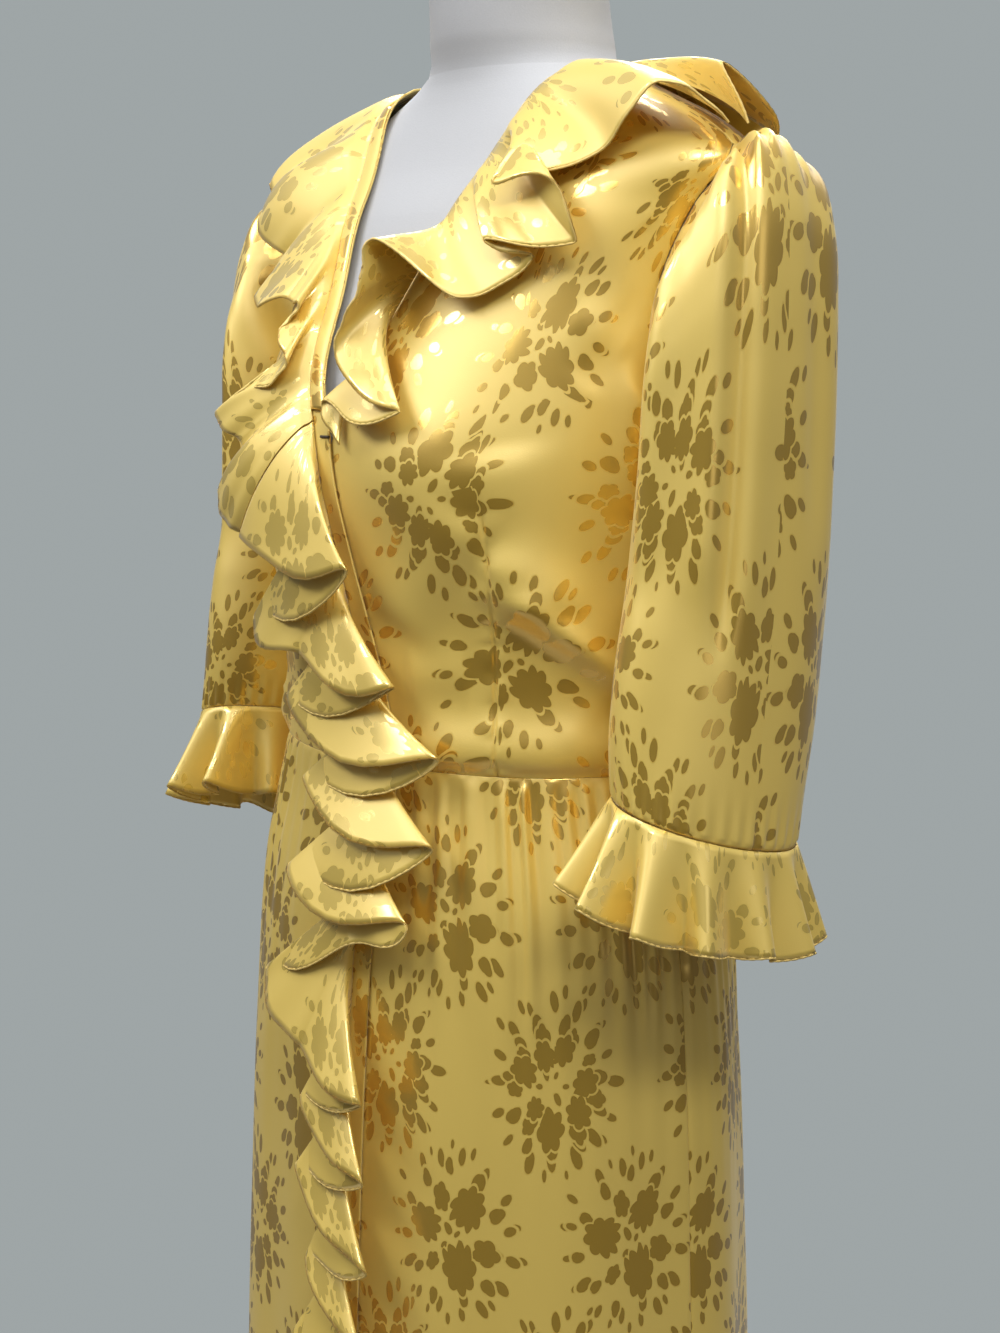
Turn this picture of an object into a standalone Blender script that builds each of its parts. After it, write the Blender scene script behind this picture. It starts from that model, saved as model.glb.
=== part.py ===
"""Wrap dress on a limbless dress form, built as separate cloth pieces."""
import bpy
import numpy as np

# Heights are measured from the waist seam and angles run round the body from
# the front centre, positive towards the wearer's left. Lengths are metres.
WAIST = 1.020
CLOTH = 0.0012
RUFFLE_CLOTH = 0.0010
SEAM_GAP = 0.0003
OVERLAP_STEP = 0.0024
SHOULDER_TOP = 0.405
SKIRT_HEM = -0.735
ARMHOLE_MIDDLE = 0.282
ARMHOLE_HALF = 0.068
ARMHOLE_FRONT = 12.5
ARMHOLE_BACK = 24.0
SLEEVE_SIDES = 24
GATHERS_IN_HALF = 28
RUFFLE_INSET_LEFT = 0.002
RUFFLE_INSET_RIGHT = 0.013

# Body under the dress: height, half width, front depth, back depth, centre y.
BODY = np.array([
    (-0.760, 0.190, 0.146, 0.150, 0.000),
    (-0.500, 0.186, 0.138, 0.142, 0.000),
    (-0.300, 0.181, 0.132, 0.136, 0.000),
    (-0.180, 0.176, 0.127, 0.131, 0.000),
    (-0.080, 0.166, 0.120, 0.123, 0.000),
    (0.000, 0.147, 0.109, 0.108, 0.000),
    (0.060, 0.146, 0.110, 0.104, 0.000),
    (0.120, 0.151, 0.114, 0.105, 0.000),
    (0.180, 0.156, 0.117, 0.109, 0.000),
    (0.235, 0.160, 0.108, 0.112, 0.003),
    (0.280, 0.166, 0.092, 0.108, 0.007),
    (0.320, 0.180, 0.078, 0.100, 0.012),
    (0.347, 0.190, 0.064, 0.086, 0.016),
    (0.368, 0.160, 0.058, 0.074, 0.020),
    (0.388, 0.112, 0.056, 0.065, 0.024),
    (0.405, 0.074, 0.055, 0.058, 0.027),
])

# Bust fullness: sideways place, height, sideways spread, height spread, depth.
BUST = (0.080, 0.170, 0.050, 0.055, 0.014)

# Wrap edge of the right front: height, distance from the centre line towards
# the wearer's right. It runs down the neckline, crosses over at the point of
# the V and runs on down the skirt.
EDGE = np.array([
    (-0.760, -0.036),
    (-0.300, -0.036),
    (-0.120, -0.038),
    (0.000, -0.045),
    (0.048, -0.036),
    (0.117, -0.018),
    (0.168, -0.006),
    (0.193, 0.001),
    (0.220, 0.014),
    (0.262, 0.027),
    (0.298, 0.038),
    (0.331, 0.047),
    (0.361, 0.058),
    (0.385, 0.067),
    (0.397, 0.072),
    (0.405, 0.0739),
])

# Hem of the left neck ruffle in centimetres and degrees, one row per fold:
# height of the seam, angle, height and stand-off of the hem.
RUFFLE_NECK_LEFT = np.array([
    (40.3, 82, 35.0, 1.6),
    (39.9, 64, 35.6, 3.6),
    (38.6, 44, 34.0, 1.0),
    (36.9, 31, 32.0, 2.9),
    (35.4, 52, 29.7, 1.8),
    (34.2, 32, 29.5, 2.0),
    (33.2, 43, 28.8, 1.2),
    (31.8, 30, 26.4, 1.3),
    (30.2, 14, 28.4, 4.4),
    (28.8, 12, 25.6, 3.6),
    (27.4, 8, 22.8, 2.6),
    (25.0, 26, 20.2, 1.4),
    (22.8, 1, 20.9, 1.3),
    (20.8, 6, 18.6, 0.7),
])

# Hem of the right ruffle from the shoulder to the point of the V.
RUFFLE_NECK_RIGHT = np.array([
    (40.2, -80, 35.0, 1.6),
    (39.6, -66, 34.3, 2.3),
    (38.4, -52, 33.8, 1.2),
    (36.4, -58, 32.3, 3.0),
    (34.0, -44, 29.6, 1.2),
    (32.6, -46, 27.0, 2.3),
    (31.0, -22, 26.3, 1.9),
    (29.4, -14, 25.9, 2.1),
    (27.8, -18, 24.3, 2.1),
    (26.2, -12, 22.6, 2.0),
    (24.3, -25, 20.9, 2.4),
    (22.8, -34, 19.6, 3.0),
    (21.7, -26, 18.2, 1.7),
    (20.8, -31, 15.9, 2.8),
    (19.9, -24, 13.9, 2.7),
])

# Hem of the long ruffle from the point of the V to the skirt hem, in
# centimetres and degrees: height of the seam, angle and height of the hem.
RUFFLE_WRAP = np.array([
    (19.8, -24, 13.7),
    (17.8, 15, 12.2),
    (14.8, -23, 8.6),
    (12.4, -4, 6.6),
    (10.4, 23, 5.3),
    (8.4, -12, 3.7),
    (5.6, 33, 1.2),
    (3.2, -4, -1.2),
    (0.8, 32, -4.2),
    (-1.6, -5, -6.6),
    (-3.9, 26, -8.4),
    (-5.8, 13, -10.2),
    (-7.8, -10, -13.0),
    (-10.2, 3, -16.8),
    (-12.8, 18, -19.2),
    (-15.2, 2, -19.9),
    (-17.6, 19, -23.8),
    (-20.0, 1, -24.3),
    (-22.6, 20, -29.0),
    (-25.2, 4, -29.6),
    (-27.8, 19, -34.2),
    (-30.4, 0, -35.2),
    (-33.0, 18, -39.4),
    (-35.6, 2, -40.6),
    (-38.2, 20, -44.8),
    (-40.8, 0, -46.0),
    (-43.4, 18, -50.0),
    (-46.0, 2, -51.2),
    (-48.6, 18, -55.2),
    (-51.2, 0, -56.6),
    (-53.8, 20, -60.6),
    (-56.4, 2, -61.8),
    (-59.0, 18, -65.6),
    (-61.6, 0, -67.2),
    (-64.2, 16, -70.8),
    (-66.6, 4, -72.6),
])

# Stand-off of the long ruffle: STAND times the drop in centimetres to the
# power RISE, so that upper layers always lie outside lower ones.
STAND = 0.70
RISE = 0.65
HEM_ARC = 0.16
HEM_ARC_NECK = 0.03

# Hem of the back neck ruffle: angle of the seam, angle, height and stand-off
# of the hem.
RUFFLE_NECK_BACK = np.array([
    (92, 88, 34.9, 1.8),
    (98, 84, 36.2, 5.2),
    (108, 98, 35.2, 2.4),
    (124, 116, 35.0, 1.4),
    (138, 136, 35.6, 3.2),
    (154, 152, 34.8, 1.3),
    (172, 170, 35.2, 3.0),
    (190, 190, 34.8, 1.3),
    (208, 210, 35.4, 3.2),
    (226, 232, 34.9, 1.4),
    (244, 252, 35.4, 3.4),
    (262, 270, 35.0, 1.4),
    (268, 274, 35.1, 1.8),
])

# Rings of the left sleeve from armhole to cuff seam: inner x and height,
# outer x and height, centre y, half width in y.
SLEEVE = np.array([
    (0.1672, 0.2045, 0.208, 0.3520, 0.023, 0.045),
    (0.1675, 0.200, 0.222, 0.341, 0.018, 0.063),
    (0.169, 0.190, 0.231, 0.318, 0.014, 0.068),
    (0.169, 0.178, 0.235, 0.282, 0.011, 0.070),
    (0.168, 0.162, 0.236, 0.235, 0.010, 0.071),
    (0.166, 0.135, 0.237, 0.175, 0.008, 0.071),
    (0.165, 0.095, 0.238, 0.110, 0.004, 0.071),
    (0.166, 0.045, 0.240, 0.048, -0.005, 0.070),
    (0.168, 0.005, 0.2415, 0.000, -0.013, 0.066),
    (0.171, -0.012, 0.2415, -0.020, -0.0157, 0.0635),
])
SLEEVE_SLOPE = 0.30

# Flutes of a cuff ruffle, degrees round the cuff from the outside towards the
# front: angle, reach beyond the seam, drop.
CUFF_FLUTES = np.array([
    (0, 0.014, 0.058),
    (15, 0.003, 0.060),
    (29, 0.018, 0.060),
    (43, 0.004, 0.061),
    (59, 0.024, 0.060),
    (76, 0.004, 0.062),
    (92, 0.028, 0.058),
    (108, 0.003, 0.060),
    (124, 0.030, 0.056),
    (139, 0.004, 0.060),
    (153, 0.016, 0.058),
    (167, 0.000, 0.060),
    (180, 0.006, 0.060),
    (194, 0.000, 0.060),
    (209, 0.010, 0.058),
    (225, 0.002, 0.060),
    (241, 0.016, 0.058),
    (257, 0.003, 0.061),
    (273, 0.020, 0.060),
    (288, 0.003, 0.060),
    (303, 0.018, 0.058),
    (317, 0.003, 0.060),
    (331, 0.016, 0.060),
    (346, 0.003, 0.061),
])


def smooth_curve(x, xs, ys):
    """Cubic curve through the points (xs, ys), level beyond both ends."""
    xs = np.asarray(xs, float)
    ys = np.asarray(ys, float)
    x = np.clip(np.asarray(x, float), xs[0], xs[-1])
    slope = np.gradient(ys, xs)
    i = np.clip(np.searchsorted(xs, x) - 1, 0, len(xs) - 2)
    h = xs[i + 1] - xs[i]
    t = (x - xs[i]) / h
    start = (1 + 2 * t) * (1 - t) ** 2 * ys[i] + t * (1 - t) ** 2 * h * slope[i]
    end = t * t * (3 - 2 * t) * ys[i + 1] + t * t * (t - 1) * h * slope[i + 1]
    return start + end


def ease(t):
    """Rise from 0 to 1 with level ends: 3 t squared minus 2 t cubed."""
    t = np.clip(t, 0.0, 1.0)
    return t * t * (3 - 2 * t)


def body_point(angle, height):
    """Point on the body: half width times sine, depth times cosine."""
    angle, height = np.broadcast_arrays(np.asarray(angle, float), np.asarray(height, float))
    half, front, back, middle = [smooth_curve(height, BODY[:, 0], BODY[:, k]) for k in (1, 2, 3, 4)]
    cosine = np.cos(angle)
    x = half * np.sin(angle)
    y = middle - np.where(cosine > 0, front, back) * cosine
    side, level, wide, tall, depth = BUST
    bump = depth * np.exp(-((np.abs(x) - side) / wide) ** 2 - ((height - level) / tall) ** 2)
    y = y - bump * np.clip(2 * cosine, 0, 1)
    return np.stack([x, y, WAIST + height], -1)


def body_normal(angle, height):
    """Outward unit normal, from points a millimetre to each side."""
    step = 0.002
    across = body_point(angle + step, height) - body_point(angle - step, height)
    upward = body_point(angle, height + step) - body_point(angle, height - step)
    normal = np.cross(across, upward)
    return normal / np.linalg.norm(normal, axis=-1, keepdims=True)


def place(angle, height, lift):
    """Point that stands off the body by the given lift."""
    angle, height, lift = np.broadcast_arrays(angle, height, lift)
    return body_point(angle, height) + body_normal(angle, height) * lift[..., None]


def angle_at(x, height):
    """Angle of the front point at sideways place x."""
    half = smooth_curve(height, BODY[:, 0], BODY[:, 1])
    return np.arcsin(np.clip(x / half, -1.0, 1.0))


def edge_x(height):
    """Distance of the wrap edge from the centre, positive to the wearer's right."""
    return np.interp(height, EDGE[:, 0], EDGE[:, 1])


def armhole_angle(height, reach):
    """Angle between the side line and the armhole edge at a height."""
    part = np.clip((height - ARMHOLE_MIDDLE) / ARMHOLE_HALF, -1.0, 1.0)
    return np.radians(reach) * np.sqrt(1 - part ** 2)


def overlap_lift(angle, height):
    """Extra lift of the right front where it lies over the left front."""
    over = ease((angle + np.radians(50)) / np.radians(14))
    return OVERLAP_STEP * over * ease((0.275 - height) / 0.05)


def bodice_rows():
    """Heights of the bodice rows; those of the armhole match the sleeve."""
    turns = np.arange(1, SLEEVE_SIDES // 2) * 2 * np.pi / SLEEVE_SIDES
    armhole = ARMHOLE_MIDDLE - ARMHOLE_HALF * np.cos(turns)
    low = [SEAM_GAP / 2, 0.045, 0.09, 0.135, 0.178, ARMHOLE_MIDDLE - ARMHOLE_HALF]
    high = [ARMHOLE_MIDDLE + ARMHOLE_HALF, 0.368, 0.386, 0.397, SHOULDER_TOP]
    return np.concatenate([low, armhole, high])


def bodice_front(side, across, rows, depth=0.0):
    """Points of a front; side 1 is the wearer's left, minus 1 the right."""
    height = rows[:, None]
    if side > 0:
        inner = angle_at(edge_x(height), height)
    else:
        inner = -angle_at(edge_x(height), height)
    outer = side * (np.pi / 2 - armhole_angle(height, ARMHOLE_FRONT) - 0.0011)
    t = np.linspace(0, 1, across + 1)[None, :]
    angle = inner + (outer - inner) * t
    lift = CLOTH + (overlap_lift(angle, height) if side < 0 else 0.0)
    return place(angle, height, lift - depth)


def bodice_back(across, rows, depth=0.0):
    """Points of the back from the left side seam to the right one."""
    height = rows[:, None]
    cut = armhole_angle(height, ARMHOLE_BACK) + 0.0011
    t = np.linspace(0, 1, across + 1)[None, :]
    angle = np.pi / 2 + cut + (np.pi - 2 * cut) * t
    return place(angle, height, CLOTH - depth)


def gather_lift(angle, height, folds):
    """Lift of the waist gathers and, lower down, of the broad soft folds."""
    warp = angle + 0.035 * np.sin(3.1 * angle + 0.4) + 0.02 * np.sin(7.3 * angle)
    wave = 0.5 + 0.5 * np.cos(2 * folds * warp)
    levels = [-0.8, -0.30, -0.17, -0.12, -0.06, -0.025, 0.0]
    size = np.interp(height, levels, [0.0, 0.0, 0.0006, 0.0016, 0.0032, 0.0030, 0.0014])
    uneven = 0.75 + 0.25 * np.sin(5.0 * angle + 1.3)
    broad = 0.5 + 0.5 * np.cos(11 * angle + 0.9 * np.sin(2 * angle))
    broad_size = np.interp(height, [-0.8, -0.35, -0.12, -0.02, 0.0], [0.0075, 0.005, 0.0025, 0.0, 0.0])
    return size * wave * uneven + broad_size * broad


def skirt(part, rows, columns, depth=0.0):
    """Points of a skirt panel: left front, right front or back."""
    height = rows[:, None]
    edge = angle_at(edge_x(height), height)
    if part == "left":
        inner, outer = edge, np.pi / 2 - 0.0011
    elif part == "right":
        inner, outer = -edge, -np.pi / 2 + 0.0011
    else:
        inner, outer = np.pi / 2 + 0.0011, 3 * np.pi / 2 - 0.0011
    t = np.linspace(0, 1, columns + 1)[None, :]
    angle = inner + (outer - inner) * t
    lift = gather_lift(angle, height, GATHERS_IN_HALF)
    if part == "left":
        lift = lift * ease((angle - np.radians(17)) / np.radians(14))
    if part == "right":
        lift = lift * ease((-angle - np.radians(4)) / np.radians(20))
        lift = lift + OVERLAP_STEP * ease((angle + np.radians(50)) / np.radians(14))
    return place(angle, height, CLOTH + lift - depth)


def mirrored(grid):
    """The same grid on the wearer's other side."""
    return grid * np.array([-1.0, 1.0, 1.0])


def sleeve(turns):
    """Outer points of the left sleeve, rings from armhole to cuff seam."""
    turn = np.asarray(turns, float)
    height = ARMHOLE_MIDDLE + ARMHOLE_HALF * np.cos(turn) * 0.994
    reach = np.where(np.sin(turn) > 0, -ARMHOLE_FRONT, ARMHOLE_BACK) * np.abs(np.sin(turn))
    inset = 0.0022 * np.sign(-reach)
    rings = [place(np.pi / 2 + np.radians(reach) + inset * (np.abs(np.sin(turn)) > 0.01), height, CLOTH + 0.0008)]
    last = len(SLEEVE) - 1
    for k, (inner_x, inner_h, outer_x, outer_h, centre_y, half_y) in enumerate(SLEEVE):
        inner = np.array([inner_x, centre_y, WAIST + inner_h])
        outer = np.array([outer_x, centre_y, WAIST + outer_h])
        middle = (inner + outer) / 2
        spoke = (outer - inner) / 2
        ring = middle + np.cos(turn)[:, None] * spoke
        ring = ring - np.sin(turn)[:, None] * np.array([0.0, half_y, 0.0])
        slope = SLEEVE_SLOPE * ease((k - 4) / (last - 4))
        swing = 0.64 * (ring[:, 0] - middle[0]) + 0.77 * (ring[:, 1] - centre_y)
        ring[:, 2] -= slope * swing
        rings.append(ring)
    return np.array(rings)


def cuff_ruffle(turns, across):
    """Points of the left cuff ruffle from its seam to its hem."""
    turn = np.asarray(turns, float)
    seam = sleeve(turn)[-1]
    middle = seam.mean(axis=0)
    away = seam - middle
    away[:, 2] = 0
    away = away / np.linalg.norm(away, axis=1, keepdims=True)
    degree = np.degrees(turn) % 360
    table = np.vstack([CUFF_FLUTES, CUFF_FLUTES[0] + np.array([360, 0, 0])])
    row = np.clip(np.searchsorted(table[:, 0], degree, side="right") - 1, 0, len(table) - 2)
    part = (degree - table[row, 0]) / (table[row + 1, 0] - table[row, 0])
    blend = 0.5 - 0.5 * np.cos(np.pi * part)
    reach = table[row, 1] + (table[row + 1, 1] - table[row, 1]) * blend
    drop = table[row, 2] + (table[row + 1, 2] - table[row, 2]) * blend
    rows = []
    for w in np.linspace(0, 1, across + 1):
        down = np.array([0.02, 0.0, -1.0])
        spread = away * (reach * w ** 0.9)[:, None]
        start = down * (SEAM_GAP + 0.0001)
        rows.append(seam + start + spread + down * (drop * w)[:, None] * (1 - 0.25 * (reach / 0.04) ** 2 * w)[:, None])
    return np.array(rows)


def fold_blend(table, position):
    """Interpolated table row: sideways with level ends, the rest even."""
    row = np.clip(np.floor(position).astype(int), 0, len(table) - 2)
    part = position - row
    level = 0.5 - 0.5 * np.cos(np.pi * part)
    first, second = table[row], table[row + 1]
    even = first + (second - first) * part[:, None]
    curved = first + (second - first) * level[:, None]
    return even, curved


def hem_arc(table, positions):
    """How far the hem hangs below the straight line between two corners: an
    arch whose height is a share of the line's length round the body. Right
    on the shoulder, where the ruffle lies flat, there is none."""
    row = np.clip(np.floor(positions).astype(int), 0, len(table) - 2)
    turn = np.radians(np.abs(table[row + 1, 1] - table[row, 1]))
    seam = np.interp(positions, np.arange(len(table)), table[:, 0])
    share = HEM_ARC if table.shape[1] == 3 else HEM_ARC_NECK
    return share * 0.13 * turn * np.sin(np.pi * (positions - row)) * ease((39.4 - seam) / 2)


def ruffle_spot(table, side, seam_lift, positions, w):
    """Angle, height and stand-off at the share w of the way to the hem."""
    inset = RUFFLE_INSET_RIGHT if side < 0 else RUFFLE_INSET_LEFT
    even, curved = fold_blend(table, positions)
    seam_height = even[:, 0] / 100
    seam_angle = angle_at(side * (edge_x(seam_height) + inset), seam_height)
    hem_angle = np.radians(curved[:, 1])
    hem_height = (0.6 * even[:, 2] + 0.4 * curved[:, 2]) / 100 - hem_arc(table, positions)
    if table.shape[1] > 3:
        hem_lift = even[:, 3] / 100
    else:
        drop = 100 * (seam_height - hem_height)
        hem_lift = seam_lift + STAND * drop ** RISE / 100
    angle = seam_angle + (hem_angle - seam_angle) * w
    height = seam_height + (hem_height - seam_height) * w
    lift = seam_lift + (hem_lift - seam_lift) * w ** RISE
    return angle, height, lift


def front_ruffle(table, side, seam_lift, positions, shares):
    """Points of a front ruffle, rows from its seam to its hem. The stand-off
    grows with the drop to the power of RISE, so the cloth leaves the seam
    outwards and then falls, each layer of a fold outside the next one down."""
    rows = []
    for w in shares:
        angle, height, lift = ruffle_spot(table, side, seam_lift, positions, w)
        rows.append(place(angle, height, lift))
    return np.array(rows)


def back_ruffle(positions, across, seam_lift):
    """Points of the back neck ruffle."""
    even, curved = fold_blend(RUFFLE_NECK_BACK, positions)
    seam_angle = np.radians(even[:, 0])
    seam_height = 0.402
    rows = []
    for w in np.linspace(0, 1, across + 1):
        angle = seam_angle + (np.radians(curved[:, 1]) - seam_angle) * w
        height = seam_height + (curved[:, 2] / 100 - seam_height) * w
        lift = seam_lift + (curved[:, 3] / 100 - seam_lift) * w ** 0.8
        rows.append(place(angle, height, lift))
    return np.array(rows)


# Dress form: height above the waist, half width, front depth, back depth and
# centre y. It stays clear of the cloth and is closest to it at the shoulders.
FORM = np.array([
    (-0.300, 0.146, 0.104, 0.112, 0.000),
    (-0.285, 0.158, 0.114, 0.122, 0.000),
    (-0.180, 0.163, 0.117, 0.122, 0.000),
    (-0.080, 0.156, 0.112, 0.116, 0.000),
    (0.000, 0.142, 0.104, 0.103, 0.000),
    (0.060, 0.141, 0.105, 0.099, 0.000),
    (0.120, 0.146, 0.109, 0.100, 0.000),
    (0.178, 0.150, 0.112, 0.104, 0.000),
    (0.235, 0.151, 0.103, 0.108, 0.003),
    (0.280, 0.153, 0.087, 0.104, 0.007),
    (0.320, 0.164, 0.074, 0.096, 0.012),
    (0.347, 0.180, 0.0615, 0.083, 0.016),
    (0.368, 0.1560, 0.0550, 0.0710, 0.020),
    (0.386, 0.1100, 0.0510, 0.0610, 0.024),
    (0.397, 0.0840, 0.0495, 0.0570, 0.026),
    (0.405, 0.0690, 0.0495, 0.0530, 0.027),
    (0.424, 0.0600, 0.0520, 0.0540, 0.0255),
    (0.450, 0.0565, 0.0520, 0.0540, 0.0230),
    (0.500, 0.0560, 0.0530, 0.0550, 0.0200),
])
RUFFLE_SHARES = (0.0, 0.22, 0.58, 1.0)
NECK_CAP_THICKNESS = 0.008
POLE_RADIUS = 0.0125
BASE_RADIUS = 0.190
BASE_THICKNESS = 0.012
BASE_EDGE = 0.003
HOOK_X = -0.0035
HOOK_HEIGHT = 0.190
HOOK_HALF = 0.004
HOOK_RADIUS = 0.0008
HOOK_LIFT = 0.0041


def clear_scene():
    """Remove the objects of the start-up scene."""
    for item in list(bpy.data.objects):
        bpy.data.objects.remove(item, do_unlink=True)


def material(name, colour, roughness, metallic=0.0):
    """A plain Principled material."""
    made = bpy.data.materials.new(name)
    made.use_nodes = True
    shader = made.node_tree.nodes["Principled BSDF"]
    shader.inputs["Base Color"].default_value = (*colour, 1.0)
    shader.inputs["Roughness"].default_value = roughness
    shader.inputs["Metallic"].default_value = metallic
    return made


def add_mesh(name, points, faces, look, home):
    """Mesh object with smooth shading."""
    mesh = bpy.data.meshes.new(name)
    mesh.from_pydata(np.asarray(points).tolist(), [], np.asarray(faces).tolist())
    mesh.polygons.foreach_set("use_smooth", [True] * len(mesh.polygons))
    mesh.materials.append(look)
    made = bpy.data.objects.new(name, mesh)
    home.objects.link(made)
    return made


def add_closed(name, points, faces, look, home):
    """Closed mesh, turned so that its faces point out: its volume, summed
    from the triangles, is positive."""
    points = np.asarray(points, float)
    faces = np.asarray(faces, int)
    a, b, c = points[faces[:, 0]], points[faces[:, 1]], points[faces[:, 2]]
    volume = np.sum(a * np.cross(b, c)) / 6
    if volume < 0:
        faces = faces[:, ::-1]
    return add_mesh(name, points, faces, look, home)


def grid_faces(rows, columns, around):
    """Two triangles between each four neighbours of a grid."""
    wide = columns if around else columns - 1
    faces = []
    for i in range(rows - 1):
        for j in range(wide):
            a = i * columns + j
            b = i * columns + (j + 1) % columns
            c = b + columns
            d = a + columns
            faces.append((a, b, c))
            faces.append((a, c, d))
    return np.array(faces)


def two_sided(name, first, second, look, home, around=False):
    """Closed cloth wall between two matching grids, joined along its rims.
    Neighbours meet at their seams with parallel ends 0.3 mm apart, which
    Solidify's averaged normals would not keep on so few columns."""
    rows, columns = first.shape[:2]
    count = rows * columns
    front = grid_faces(rows, columns, around)
    back = front[:, ::-1] + count
    wide = columns if around else columns - 1
    rim = []
    for j in range(wide):
        top = (rows - 1) * columns
        rim.append((j, (j + 1) % columns))
        rim.append((top + (j + 1) % columns, top + j))
    if not around:
        for i in range(rows - 1):
            rim.append(((i + 1) * columns, i * columns))
            rim.append((i * columns + columns - 1, (i + 1) * columns + columns - 1))
    sides = []
    for a, b in rim:
        sides.append((a, a + count, b + count))
        sides.append((a, b + count, b))
    points = np.vstack([first.reshape(-1, 3), second.reshape(-1, 3)])
    return add_closed(name, points, np.vstack([front, back, sides]), look, home)


def grid_normals(grid, around):
    """Unit normals of a grid from the neighbours on each side."""
    if around:
        across = np.roll(grid, -1, axis=1) - np.roll(grid, 1, axis=1)
    else:
        across = np.gradient(grid, axis=1)
    along = np.gradient(grid, axis=0)
    normal = np.cross(across, along)
    length = np.linalg.norm(normal, axis=2, keepdims=True)
    return normal / np.maximum(length, 1e-12)


def tube_cloth(name, grid, look, home):
    """Closed wall of a tube whose grid is its outer face."""
    normal = grid_normals(grid, True)
    away = grid - grid.mean(axis=1, keepdims=True)
    flip = np.sign(np.mean(np.sum(normal * away, axis=2)))
    return two_sided(name, grid, grid - normal * flip * CLOTH, look, home, around=True)


def clear_directions(grid, around):
    """Unit direction at each point that sees all six of its faces. It starts
    as their mean normal and turns step by step towards the worst face."""
    if around:
        right = np.roll(grid, -1, axis=1)
    else:
        right = grid[:, 1:]
    left = grid[:, :right.shape[1]]
    first = np.cross(right[:-1] - left[:-1], right[1:] - left[:-1])
    second = np.cross(right[1:] - left[:-1], left[1:] - left[:-1])
    first, second = [part / np.linalg.norm(part, axis=2, keepdims=True) for part in (first, second)]
    sides = "wrap" if around else "edge"
    first, second = [np.pad(part, ((1, 1), (0, 0), (0, 0)), mode="edge") for part in (first, second)]
    first, second = [np.pad(part, ((0, 0), (1, 0 if around else 1), (0, 0)), mode=sides) for part in (first, second)]
    faces = np.stack([first[1:, 1:], second[1:, 1:], first[1:, :-1],
                      first[:-1, :-1], second[:-1, :-1], second[:-1, 1:]])
    view = faces.sum(axis=0)
    for _ in range(120):
        view = view / np.linalg.norm(view, axis=2, keepdims=True)
        facing = np.sum(faces * view, axis=3)
        worst = np.take_along_axis(faces, facing.argmin(axis=0)[None, :, :, None], axis=0)[0]
        view = view + 0.06 * worst
    view = view / np.linalg.norm(view, axis=2, keepdims=True)
    return view, np.sum(faces * view, axis=3).min(axis=0)


def strip_cloth(name, grid, look, home, around=False, thickness=RUFFLE_CLOTH):
    """Closed wall with the grid as its middle layer. Its folds turn so far
    that Solidify would cross the wall there, so both faces are worked out
    from directions that see every face round a point."""
    view, facing = clear_directions(grid, around)
    step = view * thickness / 2 / np.clip(facing, 0.6, 1.0)[:, :, None]
    return two_sided(name, grid + step, grid - step, look, home, around)


def lofted(name, rings, look, home):
    """Closed solid through unlike level sections, flat at both ends."""
    rings = np.asarray(rings)
    rows, columns = rings.shape[:2]
    low, high = rows * columns, rows * columns + 1
    top = (rows - 1) * columns
    faces = list(grid_faces(rows, columns, True))
    for j in range(columns):
        faces.append((low, (j + 1) % columns, j))
        faces.append((high, top + j, top + (j + 1) % columns))
    points = np.vstack([rings.reshape(-1, 3), rings[0].mean(axis=0), rings[-1].mean(axis=0)])
    return add_closed(name, points, faces, look, home)


def stand_pole(look, home, parent):
    """Round pole from the base up to the form."""
    low = BASE_THICKNESS + SEAM_GAP
    high = WAIST + FORM[0, 0] - SEAM_GAP
    bpy.ops.mesh.primitive_cylinder_add(
        vertices=24, radius=POLE_RADIUS, depth=high - low, location=(0.0, 0.0, (low + high) / 2))
    pole = bpy.context.object
    pole.name = "stand_pole"
    pole.data.name = "stand_pole"
    pole.data.materials.append(look)
    pole.data.set_sharp_from_angle(angle=np.radians(40))
    for group in list(pole.users_collection):
        group.objects.unlink(pole)
    home.objects.link(pole)
    pole.parent = parent
    return pole


def stand_base(look, home, parent):
    """Round plate with a sloped edge, turned from its half profile."""
    profile = [(0.0, BASE_THICKNESS), (BASE_RADIUS - BASE_EDGE, BASE_THICKNESS),
               (BASE_RADIUS, BASE_THICKNESS - BASE_EDGE), (BASE_RADIUS, 0.0), (0.0, 0.0)]
    mesh = bpy.data.meshes.new("stand_base")
    points = [(x, 0.0, z) for x, z in profile]
    edges = [(i, i + 1) for i in range(len(profile) - 1)]
    mesh.from_pydata(points, edges, [])
    mesh.materials.append(look)
    base = bpy.data.objects.new("stand_base", mesh)
    home.objects.link(base)
    base.parent = parent
    turn = base.modifiers.new("turned plate", "SCREW")
    turn.axis = "Z"
    turn.angle = 2 * np.pi
    turn.steps = 48
    turn.render_steps = 48
    turn.use_merge_vertices = True
    turn.merge_threshold = 0.00001
    return base


def hook_bar(look, home):
    """Bar of the hook at the point of the V: a short thread-covered wire that
    lies on the right front."""
    shape = bpy.data.curves.new("neck_hook", "CURVE")
    shape.dimensions = "3D"
    shape.bevel_depth = HOOK_RADIUS
    shape.bevel_resolution = 1
    shape.use_fill_caps = True
    wire = shape.splines.new("POLY")
    wire.points.add(2)
    for point, along in zip(wire.points, (-HOOK_HALF, 0.0, HOOK_HALF)):
        spot = place(angle_at(HOOK_X + along, HOOK_HEIGHT), HOOK_HEIGHT, HOOK_LIFT)
        point.co = (*spot, 1.0)
    shape.materials.append(look)
    made = bpy.data.objects.new("neck_hook", shape)
    home.objects.link(made)
    return made


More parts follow.
